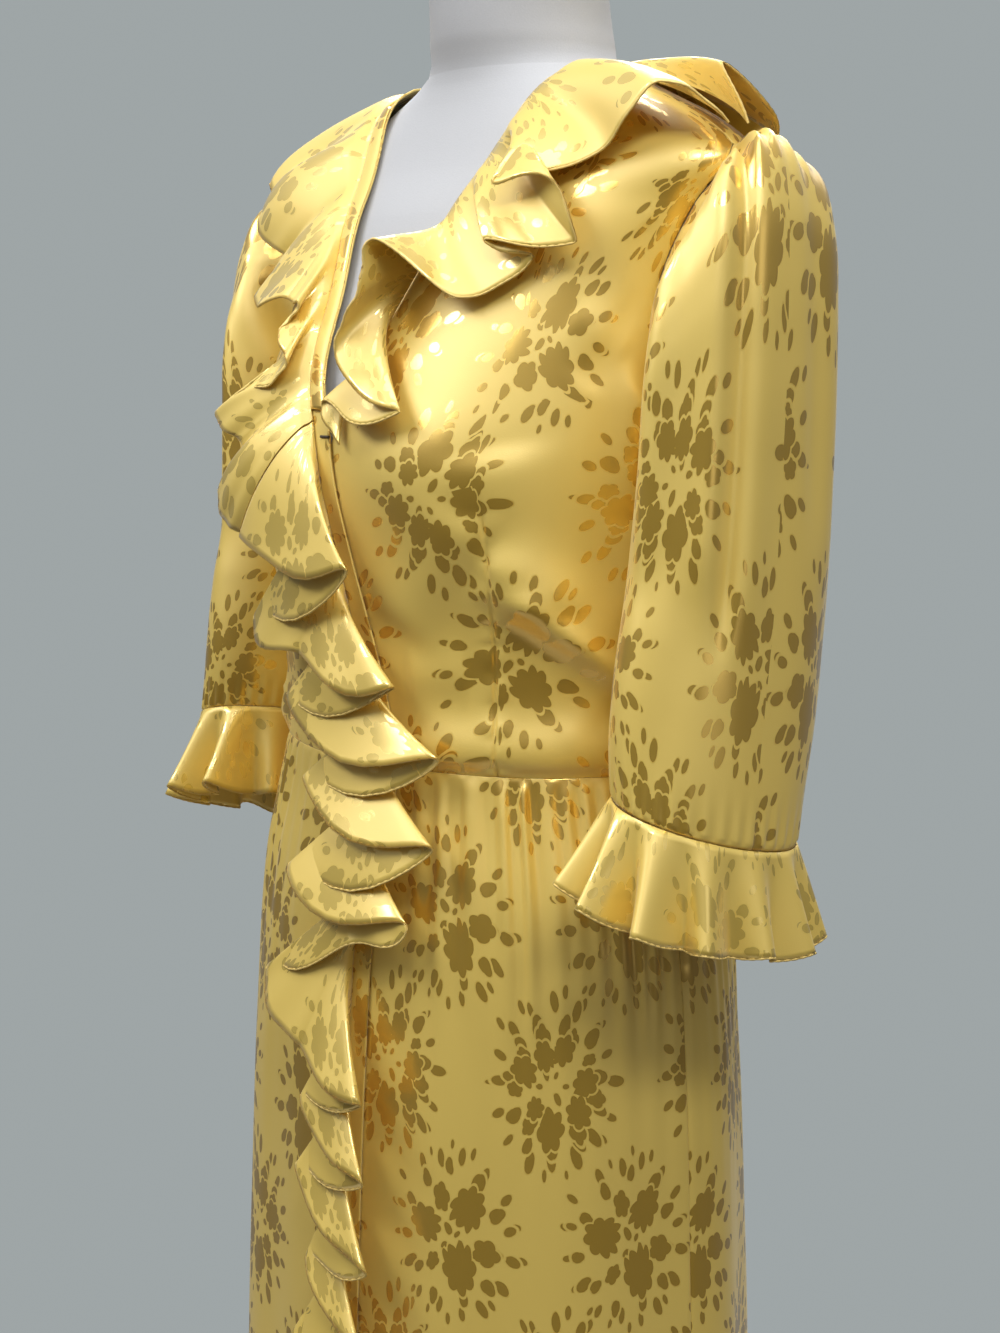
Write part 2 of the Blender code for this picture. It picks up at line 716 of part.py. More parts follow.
def form_ring(height, count):
    """One level section of the dress form."""
    half, front, back, middle = [np.interp(height, FORM[:, 0], FORM[:, k]) for k in (1, 2, 3, 4)]
    turn = np.linspace(0, 2 * np.pi, count, endpoint=False)
    cosine = np.cos(turn)
    depth = np.where(cosine > 0, front, back)
    x = half * np.sin(turn)
    y = middle - depth * cosine
    side, level, wide, tall, deep = BUST
    bump = deep * np.exp(-((np.abs(x) - side) / wide) ** 2 - ((height - level) / tall) ** 2)
    y = y - bump * np.clip(2 * cosine, 0, 1)
    return np.stack([x, y, np.full(count, WAIST + height)], -1)


def fold_places(folds):
    """Three columns a fold: its corner and two between the corners."""
    places = np.arange(folds)[:, None] + np.array([0.0, 0.30, 0.70])
    return np.append(places.ravel(), folds)


def build():
    """Make every piece of the dress, the form and its stand."""
    clear_scene()
    home = bpy.data.collections.new("wrap_dress_on_form")
    bpy.context.scene.collection.children.link(home)
    satin = material("yellow_satin", (0.75, 0.54, 0.19), 0.45)
    jersey = material("pale_jersey", (0.78, 0.77, 0.75), 0.85)
    enamel = material("pale_enamel", (0.72, 0.71, 0.69), 0.4)
    dark = material("dark_thread", (0.08, 0.06, 0.04), 0.6)

    rows = bodice_rows()
    levels = np.array([-SEAM_GAP / 2, -0.025, -0.06, -0.12, -0.30, SKIRT_HEM])
    panels = {
        "bodice_front_left": [bodice_front(1, 10, rows, depth) for depth in (0, CLOTH)],
        "bodice_front_right": [bodice_front(-1, 11, rows, depth) for depth in (0, CLOTH)],
        "bodice_back": [bodice_back(14, rows, depth) for depth in (0, CLOTH)],
        "skirt_front_left": [skirt("left", levels, 46, depth) for depth in (0, CLOTH)],
        "skirt_front_right": [skirt("right", levels, 50, depth) for depth in (0, CLOTH)],
        "skirt_back": [skirt("back", levels, 84, depth) for depth in (0, CLOTH)],
    }
    for name, (outer, inner) in panels.items():
        two_sided(name, outer, inner, satin, home)

    turns = np.arange(SLEEVE_SIDES) * 2 * np.pi / SLEEVE_SIDES
    tube = sleeve(turns)
    tube_cloth("sleeve_left", tube, satin, home)
    tube_cloth("sleeve_right", mirrored(tube), satin, home)

    flutes = []
    ends = np.append(CUFF_FLUTES[:, 0], 360)
    for first, second in zip(ends[:-1], ends[1:]):
        flutes += [first, first + (second - first) * 0.33, first + (second - first) * 0.67]
    frill = cuff_ruffle(np.radians(flutes), 2)
    strip_cloth("cuff_ruffle_left", frill, satin, home, around=True)
    strip_cloth("cuff_ruffle_right", mirrored(frill), satin, home, around=True)

    for name, table, side, seam_lift in (
        ("neck_ruffle_left", RUFFLE_NECK_LEFT, 1, 0.0020),
        ("neck_ruffle_right", RUFFLE_NECK_RIGHT, -1, 0.0044),
        ("wrap_ruffle", RUFFLE_WRAP, -1, 0.0044),
    ):
        places = fold_places(len(table) - 1)
        strip_cloth(name, front_ruffle(table, side, seam_lift, places, RUFFLE_SHARES), satin, home)
    strip = back_ruffle(fold_places(len(RUFFLE_NECK_BACK) - 1), 2, 0.0024)
    strip_cloth("neck_ruffle_back", strip, satin, home)

    binding = rows[(rows > 0.2) & (rows < 0.39)]
    sides = []
    for rise in (0.0020, 0.0010):
        strip = []
        for inset in (0.0005, 0.0055, 0.0105):
            angle = angle_at(-edge_x(binding) - inset, binding)
            strip.append(place(angle, binding, CLOTH + overlap_lift(angle, binding) + rise))
        sides.append(np.array(strip))
    two_sided("neck_binding_right", sides[0], sides[1], satin, home)

    hook_bar(dark, home)

    torso = [form_ring(height, 40) for height in FORM[:, 0]]
    lofted("form_torso", torso, jersey, home)
    cap = [form_ring(FORM[-1, 0], 24) + np.array([0, 0, rise]) for rise in (SEAM_GAP, NECK_CAP_THICKNESS)]
    centre = np.array([0.0, FORM[-1, 4], 0.0])
    cap.append((cap[1] - centre) * np.array([0.94, 0.94, 1.0]) + centre + np.array([0, 0, 0.003]))
    lofted("form_neck_cap", cap, enamel, home)

    stand = bpy.data.objects.new("stand", None)
    home.objects.link(stand)
    stand_pole(enamel, home, stand)
    stand_base(enamel, home, stand)


build()
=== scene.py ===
# %% [markdown]
# A yellow satin wrap dress on a pale dress form. This lesson dresses the plain
# solids of the part: each cut and sewn piece becomes a thin cloth shell on the
# same form, with its gathers, folds, stitched hems and woven flowers.

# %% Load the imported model
import bpy
import numpy as np
from functools import partial
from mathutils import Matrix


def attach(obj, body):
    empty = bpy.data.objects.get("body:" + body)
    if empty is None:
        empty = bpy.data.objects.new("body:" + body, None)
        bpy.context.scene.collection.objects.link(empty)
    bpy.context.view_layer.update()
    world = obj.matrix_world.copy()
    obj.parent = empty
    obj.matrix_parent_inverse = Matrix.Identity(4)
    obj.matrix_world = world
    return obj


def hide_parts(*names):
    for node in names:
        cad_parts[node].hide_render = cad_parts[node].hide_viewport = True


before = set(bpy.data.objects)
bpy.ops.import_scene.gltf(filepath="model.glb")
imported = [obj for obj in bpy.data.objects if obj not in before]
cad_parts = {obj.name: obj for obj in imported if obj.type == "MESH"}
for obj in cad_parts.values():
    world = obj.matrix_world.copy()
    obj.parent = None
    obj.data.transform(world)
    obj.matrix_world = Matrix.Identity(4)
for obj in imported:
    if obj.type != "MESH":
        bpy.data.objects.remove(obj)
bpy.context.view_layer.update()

# %% [markdown]
# The cloth hangs on a body form that is known as a stack of level sections. A
# form could also be sculpted, but then nothing could be placed on it by a
# number. With the same sections as the solids, every panel, crease and ruffle
# is placed by an angle round the body and a height above the waist seam, so
# each piece lands on its own solid.

# %% Sizes and sections of the body
# Heights are measured from the waist seam and angles run round the body from
# the front centre, positive towards the wearer's left. Lengths are metres.
WAIST = 1.020
SHOULDER_TOP = 0.405
SKIRT_HEM = -0.735
CLOTH = 0.0012
RUFFLE_CLOTH = 0.0010
BAND_CLOTH = 0.0008
SEAM_GAP = 0.0003
OVERLAP_STEP = 0.0024

# Angle in radians that a panel stays short of its side seam.
SIDE_GAP = 0.0004

# Rough radius of the body, which turns an angle into metres round it.
BODY_RADIUS = 0.13

# Armhole: height of its middle, half its height, and its reach in degrees
# forwards and backwards from the side line.
ARMHOLE_MIDDLE = 0.282
ARMHOLE_HALF = 0.068
ARMHOLE_FRONT = 12.5
ARMHOLE_BACK = 24.0

# Body under the dress: height, half width, front depth, back depth, centre y.
BODY = np.array([
    (-0.760, 0.190, 0.146, 0.150, 0.000),
    (-0.500, 0.186, 0.138, 0.142, 0.000),
    (-0.300, 0.181, 0.132, 0.136, 0.000),
    (-0.180, 0.176, 0.127, 0.131, 0.000),
    (-0.080, 0.166, 0.120, 0.123, 0.000),
    (0.000, 0.147, 0.109, 0.108, 0.000),
    (0.060, 0.146, 0.110, 0.104, 0.000),
    (0.120, 0.151, 0.114, 0.105, 0.000),
    (0.180, 0.156, 0.117, 0.109, 0.000),
    (0.235, 0.160, 0.108, 0.112, 0.003),
    (0.280, 0.166, 0.092, 0.108, 0.007),
    (0.320, 0.180, 0.078, 0.100, 0.012),
    (0.347, 0.190, 0.064, 0.086, 0.016),
    (0.368, 0.160, 0.058, 0.074, 0.020),
    (0.388, 0.112, 0.056, 0.065, 0.024),
    (0.405, 0.074, 0.055, 0.058, 0.027),
])

# Bust fullness: sideways place, height, sideways spread, height spread, depth.
BUST = (0.080, 0.170, 0.050, 0.055, 0.014)

# Wrap edge of the right front: height, distance from the centre line towards
# the wearer's right. It runs down the neckline, crosses over at the point of
# the V and runs on down the skirt.
EDGE = np.array([
    (-0.760, -0.036),
    (-0.300, -0.036),
    (-0.120, -0.038),
    (0.000, -0.045),
    (0.048, -0.036),
    (0.117, -0.018),
    (0.168, -0.006),
    (0.193, 0.001),
    (0.220, 0.014),
    (0.262, 0.027),
    (0.298, 0.038),
    (0.331, 0.047),
    (0.361, 0.058),
    (0.385, 0.067),
    (0.397, 0.072),
    (0.405, 0.0739),
])

# Angle where the right front starts to rise onto the left one and the turn that
# it takes, then the height where that rise has faded out and the run it takes.
OVERLAP_START = np.radians(-50)
OVERLAP_RUN = np.radians(14)
OVERLAP_TOP = 0.275
OVERLAP_FADE = 0.05

print(f"dress of {100 * (SHOULDER_TOP - SKIRT_HEM):.0f} cm from shoulder to hem")


# %% Curves and places on the body
def smooth_curve(x, xs, ys):
    """Cubic curve through the points (xs, ys), level beyond both ends. Each y
    is a number or a row of numbers."""
    xs = np.asarray(xs, float)
    ys = np.asarray(ys, float)
    x = np.clip(np.asarray(x, float), xs[0], xs[-1])
    slope = np.gradient(ys, xs, axis=0)
    i = np.clip(np.searchsorted(xs, x) - 1, 0, len(xs) - 2)
    h = xs[i + 1] - xs[i]
    t = (x - xs[i]) / h
    if ys.ndim > 1:
        h, t = h[..., None], t[..., None]
    start = (1 + 2 * t) * (1 - t) ** 2 * ys[i] + t * (1 - t) ** 2 * h * slope[i]
    end = t * t * (3 - 2 * t) * ys[i + 1] + t * t * (t - 1) * h * slope[i + 1]
    return start + end


def ease(t):
    """Rise from 0 to 1 with level ends: 3 t squared minus 2 t cubed."""
    t = np.clip(t, 0.0, 1.0)
    return t * t * (3 - 2 * t)


def bell(distance, width):
    """Bell curve: 1 in the middle, about a third one width away."""
    return np.exp(-(distance / width) ** 2)


def ring_angles(count):
    """Equal steps of a full turn, without its last point."""
    return np.linspace(0, 2 * np.pi, count, endpoint=False)


def sections(height, table=BODY):
    """Half width, front depth, back depth and centre y at the heights."""
    return np.moveaxis(smooth_curve(height, table[:, 0], table[:, 1:]), -1, 0)


def body_point(angle, height, table=BODY):
    """Point on the body: half width times sine, depth times cosine, and the
    fullness of the bust in front."""
    angle, height = np.broadcast_arrays(np.asarray(angle, float), np.asarray(height, float))
    half, front, back, middle = sections(height, table)
    cosine = np.cos(angle)
    x = half * np.sin(angle)
    y = middle - np.where(cosine > 0, front, back) * cosine
    side, level, wide, tall, depth = BUST
    bump = depth * bell(np.abs(x) - side, wide) * bell(height - level, tall)
    y = y - bump * np.clip(2 * cosine, 0, 1)
    return np.stack([x, y, WAIST + height], -1)


def body_normal(angle, height):
    """Outward unit normal, from points two steps apart on each line."""
    step = 0.002
    across = body_point(angle + step, height) - body_point(angle - step, height)
    upward = body_point(angle, height + step) - body_point(angle, height - step)
    normal = np.cross(across, upward)
    return normal / np.linalg.norm(normal, axis=-1, keepdims=True)


def place(angle, height, lift):
    """Point that stands off the body by the given lift."""
    angle, height, lift = np.broadcast_arrays(angle, height, lift)
    return body_point(angle, height) + body_normal(angle, height) * lift[..., None]


def angle_at(x, height):
    """Angle of the front point at sideways place x."""
    return np.arcsin(np.clip(x / sections(height)[0], -1.0, 1.0))


def arc_rate(angle, height):
    """Metres of cloth for each radian at a place."""
    half, front, back = sections(height)[:3]
    depth = np.where(np.cos(angle) > 0, front, back)
    return np.sqrt((half * np.cos(angle)) ** 2 + (depth * np.sin(angle)) ** 2)


def edge_x(height):
    """Distance of the wrap edge from the centre, positive to the wearer's right."""
    return np.interp(height, EDGE[:, 0], EDGE[:, 1])


def armhole_angle(height, reach):
    """Angle between the side line and the armhole edge at a height: half an
    ellipse, so the reach times the root of one minus the height's square."""
    part = np.clip((height - ARMHOLE_MIDDLE) / ARMHOLE_HALF, -1.0, 1.0)
    return np.radians(reach) * np.sqrt(1 - part ** 2)


def overlap(angle):
    """Rises from 0 to 1 where the right front comes to lie over the left one."""
    return ease((angle - OVERLAP_START) / OVERLAP_RUN)


def overlap_lift(angle, height):
    """Extra lift of the right bodice front, which ends above the bust."""
    return OVERLAP_STEP * overlap(angle) * ease((OVERLAP_TOP - height) / OVERLAP_FADE)


def mirrored(grid):
    """The same grid on the wearer's other side."""
    return grid * np.array([-1.0, 1.0, 1.0])


print("shoulder point", place(np.pi / 2, ARMHOLE_MIDDLE + ARMHOLE_HALF, CLOTH).round(3))

# %% [markdown]
# Cloth is a surface: a grid of points with rows along the cloth and columns
# across it. A mesh could be unwrapped by hand, but a grid knows its own cloth.
# One helper turns such a grid into a mesh and gives it a UV map in metres
# measured along the cloth, so the woven pattern keeps its real size. A
# Solidify modifier then gives the wall.


# %% A cloth shell from a grid of points
def cloth_lengths(grid, around):
    """Metres across and along the cloth: the distance between neighbours,
    added up from the first column and the first row, each as a mean."""
    closed = np.concatenate([grid, grid[:, :1]], axis=1) if around else grid
    steps = np.linalg.norm(np.diff(closed, axis=1), axis=2).mean(axis=0)
    drops = np.linalg.norm(np.diff(grid, axis=0), axis=2).mean(axis=1)
    across = np.concatenate([[0.0], np.cumsum(steps)])
    along = np.concatenate([[0.0], np.cumsum(drops)])
    return across, along


def surface(name, grid, outward=True, around=False, start=(0.0, 0.0), lengths=None):
    """Mesh object of a grid: one four-sided face between each four points.
    The UV map holds metres of cloth from the start point."""
    rows, columns = grid.shape[:2]
    wide = columns if around else columns - 1
    i, j = np.meshgrid(np.arange(rows - 1), np.arange(wide), indexing="ij")
    i, j = i.ravel(), j.ravel()
    across, along = cloth_lengths(grid, around) if lengths is None else lengths
    corners = []
    places = []
    for down, right in ((0, 0), (0, 1), (1, 1), (1, 0)):
        corners.append((i + down) * columns + (j + right) % columns)
        places.append(np.stack([across[j + right], along[i + down]], -1))
    corners = np.stack(corners, -1)
    places = np.stack(places, 1)
    if not outward:
        corners, places = corners[:, ::-1], places[:, ::-1]
    mesh = bpy.data.meshes.new(name)
    mesh.vertices.add(rows * columns)
    mesh.vertices.foreach_set("co", grid.reshape(-1).astype(np.float32))
    mesh.loops.add(corners.size)
    mesh.loops.foreach_set("vertex_index", corners.reshape(-1).astype(np.int32))
    mesh.polygons.add(len(corners))
    mesh.polygons.foreach_set("loop_start", np.arange(0, corners.size, 4, dtype=np.int32))
    mesh.polygons.foreach_set("use_smooth", np.ones(len(corners), bool))
    cloth = mesh.uv_layers.new(name="cloth")
    cloth.data.foreach_set("uv", (places + np.array(start)).reshape(-1).astype(np.float32))
    mesh.update(calc_edges=True)
    made = bpy.data.objects.new(name, mesh)
    bpy.context.scene.collection.objects.link(made)
    return made


def thicken(made, thickness, side=-1.0):
    """Solidify: the wall grows inwards at side -1 and both ways at side 0."""
    wall = made.modifiers.new("cloth wall", "SOLIDIFY")
    wall.thickness = thickness
    wall.offset = side


# %% [markdown]
# The woven flowers are a true jacquard: the ground is dull satin and the
# flowers are the other face of the same weave, so they shine. They could be a
# painted picture, but shader nodes stay sharp at any size. Each burst is a few
# rings of petals that spread from a small centre. One node group makes a
# ring, and a second group sets the rings into a half-drop repeat.


# %% Small helpers for shader nodes
def feed(tree, slot, value):
    """Link a socket to an input, or set the input to a plain value."""
    if isinstance(value, bpy.types.NodeSocket):
        tree.links.new(value, slot)
    else:
        slot.default_value = value


def calc(tree, operation, *values, clamp=False):
    """Math node: its inputs are sockets or plain numbers."""
    node = tree.nodes.new("ShaderNodeMath")
    node.operation = operation
    node.use_clamp = clamp
    for slot, value in zip(node.inputs, values):
        feed(tree, slot, value)
    return node.outputs[0]


def arithmetic(tree):
    """Short calls for a tree's sums: add, subtract, multiply and divide."""
    return [partial(calc, tree, kind) for kind in ("ADD", "SUBTRACT", "MULTIPLY", "DIVIDE")]


def add_node(tree, kind, settings=None, **inputs):
    """Any node, with its settings and with inputs given by their names."""
    node = tree.nodes.new(kind)
    for key, value in (settings or {}).items():
        setattr(node, key, value)
    for key, value in inputs.items():
        feed(tree, node.inputs[key.replace("_", " ")], value)
    return node


def mix_colours(tree, share, first, second):
    """Mix of two colours, each a socket or a plain colour."""
    node = add_node(tree, "ShaderNodeMix", {"data_type": "RGBA"})
    feed(tree, node.inputs[0], share)
    for slot, colour in ((node.inputs[6], first), (node.inputs[7], second)):
        feed(tree, slot, colour if isinstance(colour, bpy.types.NodeSocket) else (*colour, 1.0))
    return node.outputs[2]


def new_group(name, inputs, outputs):
    """Shader node group with named sockets."""
    group = bpy.data.node_groups.new(name, "ShaderNodeTree")
    for label, kind, value in inputs:
        made = group.interface.new_socket(name=label, in_out="INPUT", socket_type=kind)
        if value is not None:
            made.default_value = value
    for label in outputs:
        group.interface.new_socket(name=label, in_out="OUTPUT", socket_type="NodeSocketFloat")
    return group, group.nodes.new("NodeGroupInput"), group.nodes.new("NodeGroupOutput")


# %% A ring of petals
# Soft rim of a petal, and the room that later petals leave round it.
PETAL_EDGE = 0.0004
PETAL_GAP = 0.0010

# The burst's number times this turns a ring, counted in petals.
RING_PHASE = 17.3

# Factors that keep bursts and rings apart in the noise that chance comes from.
BURST_STRIDE = 91.7
RING_STRIDE = 613.0

# Least size of a petal, and how much chance can add to it.
PETAL_LEAST = 0.68
PETAL_VARIES = 0.55

FULL_TURN = 6.2832

# Inputs of the ring group with their first values.
RING_INPUTS = (
    ("Reach", 0.0), ("Turn", 0.0), ("Burst", 0.0), ("Count", 6.0), ("Ring", 0.02),
    ("Length", 0.009), ("Width", 0.007), ("Scallop", 0.2), ("Lobes", 2.5),
    ("Scatter", 0.5), ("Missing", 0.1),
)


def petal_ring_group():
    """Petals at equal turns on a ring, each moved and sized by chance. A point
    is in a petal where its distance from the petal's middle, divided by half
    length and half width, is under the scalloped outline. Near is the same
    mask a millimetre wider, so that later petals keep clear of it."""
    inputs = [(label, "NodeSocketFloat", value) for label, value in RING_INPUTS]
    group, given, result = new_group("petal_ring", inputs, ["Petals", "Near"])
    at = given.outputs
    plus, less, times, over = arithmetic(group)
    petal = plus(times(at["Turn"], at["Count"]), times(at["Burst"], RING_PHASE))
    nearest = calc(group, "ROUND", petal)
    aside = less(petal, nearest)
    number = calc(group, "FLOORED_MODULO", nearest, at["Count"])
    seed = add_node(group, "ShaderNodeCombineXYZ", X=number, Y=times(at["Burst"], BURST_STRIDE),
                    Z=times(at["Ring"], RING_STRIDE))
    chance = add_node(group, "ShaderNodeTexWhiteNoise", {"noise_dimensions": "3D"}, Vector=seed.outputs[0])
    first, second, third = add_node(group, "ShaderNodeSeparateColor", Color=chance.outputs["Color"]).outputs
    side = times(times(over(aside, at["Count"]), FULL_TURN), at["Reach"])
    side = plus(side, times(times(less(second, 0.5), at["Scatter"]), at["Width"]))
    out = less(at["Reach"], at["Ring"])
    out = plus(out, times(times(less(first, 0.5), at["Scatter"]), at["Length"]))
    along = over(out, at["Length"])
    across = over(side, at["Width"])
    apart = calc(group, "SQRT", plus(times(along, along), times(across, across)))
    bearing = plus(calc(group, "ARCTAN2", across, along), times(first, 6.0))
    wave = calc(group, "ABSOLUTE", calc(group, "SINE", times(bearing, at["Lobes"])))
    outline = plus(less(1.0, at["Scallop"]), times(at["Scallop"], wave))
    size = calc(group, "MULTIPLY_ADD", third, PETAL_VARIES, PETAL_LEAST)
    kept = calc(group, "GREATER_THAN", second, at["Missing"])
    inside = less(times(times(outline, size), kept), apart)
    edge = times(inside, over(at["Width"], PETAL_EDGE))
    group.links.new(plus(edge, 0.5, clamp=True), result.inputs["Petals"])
    group.links.new(plus(edge, 0.5 + PETAL_GAP / PETAL_EDGE, clamp=True), result.inputs["Near"])
    return group


# %% The repeat of the bursts
# Rings of a burst: petals in the ring, distance from the middle, half length,
# half width, depth of the scallops, half their number, scatter, share left
# out, turn of the ring in steps. The hearts of the two bursts differ: one has
# three large clouds with petals between them, the other a wreath of small
# clouds round an open middle.
BURST_HEARTS = (
    ((3, 0.0168, 0.0124, 0.0106, 0.22, 4.5, 0.4, 0.00, 0.0),
     (3, 0.0190, 0.0074, 0.0056, 0.22, 2.5, 0.6, 0.00, 0.5),
     (4, 0.0050, 0.0027, 0.0018, 0.00, 1.0, 1.4, 0.15, 0.0)),
    ((7, 0.0172, 0.0086, 0.0076, 0.24, 3.5, 0.9, 0.00, 0.2),
     (9, 0.0232, 0.0060, 0.0042, 0.20, 2.5, 0.9, 0.10, 0.6),
     (6, 0.0070, 0.0026, 0.0017, 0.00, 1.0, 1.6, 0.20, 0.0)),
)
BURST_RIM = (
    (11, 0.0285, 0.0056, 0.0036, 0.14, 1.5, 1.0, 0.05, 0.3),
    (16, 0.0345, 0.0046, 0.0024, 0.00, 1.0, 1.2, 0.12, 0.0),
    (18, 0.0400, 0.0031, 0.0016, 0.00, 1.0, 1.8, 0.35, 0.0),
)
REPEAT_ACROSS = 0.107
REPEAT_DOWN = 0.188
BURST_TALL = 1.34
BURST_SEEDS = (0.37, 0.81)

# Small sways of the pattern: scale of the noise and how far it moves a place.
SWAYS = ((24.0, 0.0060), (300.0, 0.0005))

# How far the second bursts are moved sideways in repeats, and the scale of the
# thread noise.
BRICK_SHIFT = 0.42
THREADS = 1500.0


def jacquard_group():
    """Flower mask from a place on the cloth in metres. Two bursts alternate
    row by row like bricks. For each, the place is cut into cells, turned into
    reach and turn about the cell's middle, and each ring of petals is laid
    where the rings before it leave room."""
    group, given, result = new_group("jacquard_flowers", [("Place", "NodeSocketVector", None)],
                                     ["Flower", "Thread"])
    plus, less, times, over = arithmetic(group)
    where = given.outputs["Place"]
    moved = where
    for scale, amount in SWAYS:
        sway = add_node(group, "ShaderNodeTexNoise", Vector=where, Scale=scale, Detail=1.5)
        nudged = add_node(group, "ShaderNodeVectorMath", {"operation": "MULTIPLY_ADD"})
        for slot, value in zip(nudged.inputs, (sway.outputs["Color"], (amount, amount, 0.0), moved)):
            feed(group, slot, value)
        moved = nudged.outputs[0]
    across, down = add_node(group, "ShaderNodeSeparateXYZ", Vector=moved).outputs[:2]
    ring = petal_ring_group()
    flower = times(across, 0.0)
    taken = flower
    for brick, seed in enumerate(BURST_SEEDS):
        column = calc(group, "MULTIPLY_ADD", across, 1 / REPEAT_ACROSS, BRICK_SHIFT * brick)
        row = calc(group, "MULTIPLY_ADD", down, 1 / REPEAT_DOWN, 0.5 * brick)
        x = times(less(calc(group, "FRACT", column), 0.5), REPEAT_ACROSS)
        y = times(less(calc(group, "FRACT", row), 0.5), REPEAT_DOWN / BURST_TALL)
        reach = calc(group, "SQRT", plus(times(x, x), times(y, y)))
        turn = over(calc(group, "ARCTAN2", y, x), FULL_TURN)
        rings = BURST_HEARTS[brick] + BURST_RIM
        for count, distance, length, width, scallop, lobes, scatter, missing, phase in rings:
            petals = add_node(group, "ShaderNodeGroup", {"node_tree": ring}, Reach=reach, Turn=turn,
                              Burst=seed + phase / RING_PHASE, Count=float(count), Ring=distance,
                              Length=length, Width=width, Scallop=scallop, Lobes=lobes,
                              Scatter=scatter, Missing=missing)
            free = less(1.0, taken)
            flower = calc(group, "MAXIMUM", flower, times(petals.outputs["Petals"], free))
            taken = calc(group, "MAXIMUM", taken, petals.outputs["Near"])
    group.links.new(flower, result.inputs["Flower"])
    weave = add_node(group, "ShaderNodeTexNoise", Vector=where, Scale=THREADS, Detail=2.0)
    group.links.new(weave.outputs["Fac"], result.inputs["Thread"])
    return group


jacquard = jacquard_group()
print("pattern nodes", len(jacquard.nodes))

# %% [markdown]
# The satin itself: the ground scatters light softly and the flowers mirror
# what stands around them, so they look dark towards a dark room and cream
# towards a lamp. One colour for each could be painted on, but then they would
# never change over, which is what the real cloth does. The ruffles are the same
# cloth, but their flowers get a paler colour and less metal and coat: painted
# light that stands in for the paler look their flowers take where the ruffles fall.

# %% The satin
GROUND_COLOUR = (0.790, 0.580, 0.115)
GROUND_SHADE = (0.760, 0.500, 0.055)
FLOWER_COLOUR = (0.800, 0.505, 0.045)
# Flower colour of the ruffles, paler than FLOWER_COLOUR on the same cloth: a painted lightening for the light
# the ruffles catch.
RUFFLE_FLOWER_PAINTED_PALER = (0.850, 0.610, 0.110)


def new_material(name):
    """Material with its node tree and its Principled shader."""
    made = bpy.data.materials.new(name)
    made.use_nodes = True
    return made, made.node_tree, made.node_tree.nodes["Principled BSDF"]


def satin_material(name, flower, flower_metal, flower_coat):
    """Principled satin: colour, roughness and metal follow the flower mask."""
    made, tree, shader = new_material(name)
    cloth = add_node(tree, "ShaderNodeUVMap", {"uv_map": "cloth"}).outputs[0]
    pattern = add_node(tree, "ShaderNodeGroup", {"node_tree": jacquard}, Place=cloth)
    mask = pattern.outputs["Flower"]
    cloudy = add_node(tree, "ShaderNodeTexNoise", Vector=cloth, Scale=9.0, Detail=3.0)
    shade = calc(tree, "MULTIPLY", cloudy.outputs["Fac"], 0.35)
    ground = mix_colours(tree, shade, GROUND_COLOUR, GROUND_SHADE)
    bump = add_node(tree, "ShaderNodeBump", Height=pattern.outputs["Thread"], Strength=0.22, Distance=0.00025)
    for label, value in (
        ("Base Color", mix_colours(tree, mask, ground, flower)),
        ("Roughness", calc(tree, "MULTIPLY_ADD", mask, -0.27, 0.51)),
        ("Metallic", calc(tree, "MULTIPLY_ADD", mask, flower_metal, 0.20)),
        ("Coat Weight", calc(tree, "MULTIPLY", mask, flower_coat)),
        ("Coat Roughness", 0.28),
        ("Coat IOR", 2.05),
        ("Normal", bump.outputs[0]),
        ("IOR", 1.75),
        ("Specular IOR Level", 0.90),
        ("Sheen Weight", 0.20),
        ("Sheen Roughness", 0.45),
    ):
        feed(tree, shader.inputs[label], value)
    return made


def plain_material(name, colour, roughness, grain, depth):
    """Plain finish with a fine grain on Object coordinates."""
    made, tree, shader = new_material(name)
    spot = add_node(tree, "ShaderNodeTexCoord")
    noise = add_node(tree, "ShaderNodeTexNoise", Vector=spot.outputs["Object"], Scale=grain, Detail=3.0)
    darker = [c * 0.93 for c in colour]
    lighter = [min(c * 1.06, 1.0) for c in colour]
    bump = add_node(tree, "ShaderNodeBump", Height=noise.outputs["Fac"], Strength=0.3, Distance=depth)
    feed(tree, shader.inputs["Base Color"], mix_colours(tree, noise.outputs["Fac"], darker, lighter))
    feed(tree, shader.inputs["Normal"], bump.outputs[0])
    feed(tree, shader.inputs["Roughness"], roughness)
    return made


satin = satin_material("yellow jacquard satin", FLOWER_COLOUR, 0.48, 0.65)
# Same satin for the ruffles, with the paler flower colour and less metal and coat: painted light for the
# lighter look of the ruffles.
ruffle_satin_painted_paler = satin_material("yellow jacquard satin of the ruffles, flowers painted paler", RUFFLE_FLOWER_PAINTED_PALER, 0.28, 0.55)
edging = plain_material("overlocked edge", (0.74, 0.54, 0.17), 0.65, 900.0, 0.0004)
jersey = plain_material("pale jersey cover", (0.455, 0.460, 0.478), 0.9, 1100.0, 0.0003)
enamel = plain_material("pale enamel", (0.70, 0.69, 0.67), 0.38, 60.0, 0.0001)
dark_thread = plain_material("dark thread", (0.05, 0.035, 0.025), 0.7, 1500.0, 0.0003)
print("finishes", len(bpy.data.materials))


# %% [markdown]
# Every piece ends in the same way: it gets its finish, stands for its solid
# if it has one, and rides the one body.

# %% Finish a piece
def finish_piece(made, look, nodes):
    """Give a piece its material, its solid and its body."""
    made.data.materials.append(look)
    if nodes:
        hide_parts(*nodes)
    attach(made, "root")


def sew_panel(node, grid, outward, start, around=False, wall=CLOTH):
    """A panel of satin whose wall grows inwards, with its solid."""
    made = surface(node + "_cloth", grid, outward, around, start)
    thicken(made, wall)
    finish_piece(made, satin, [node])
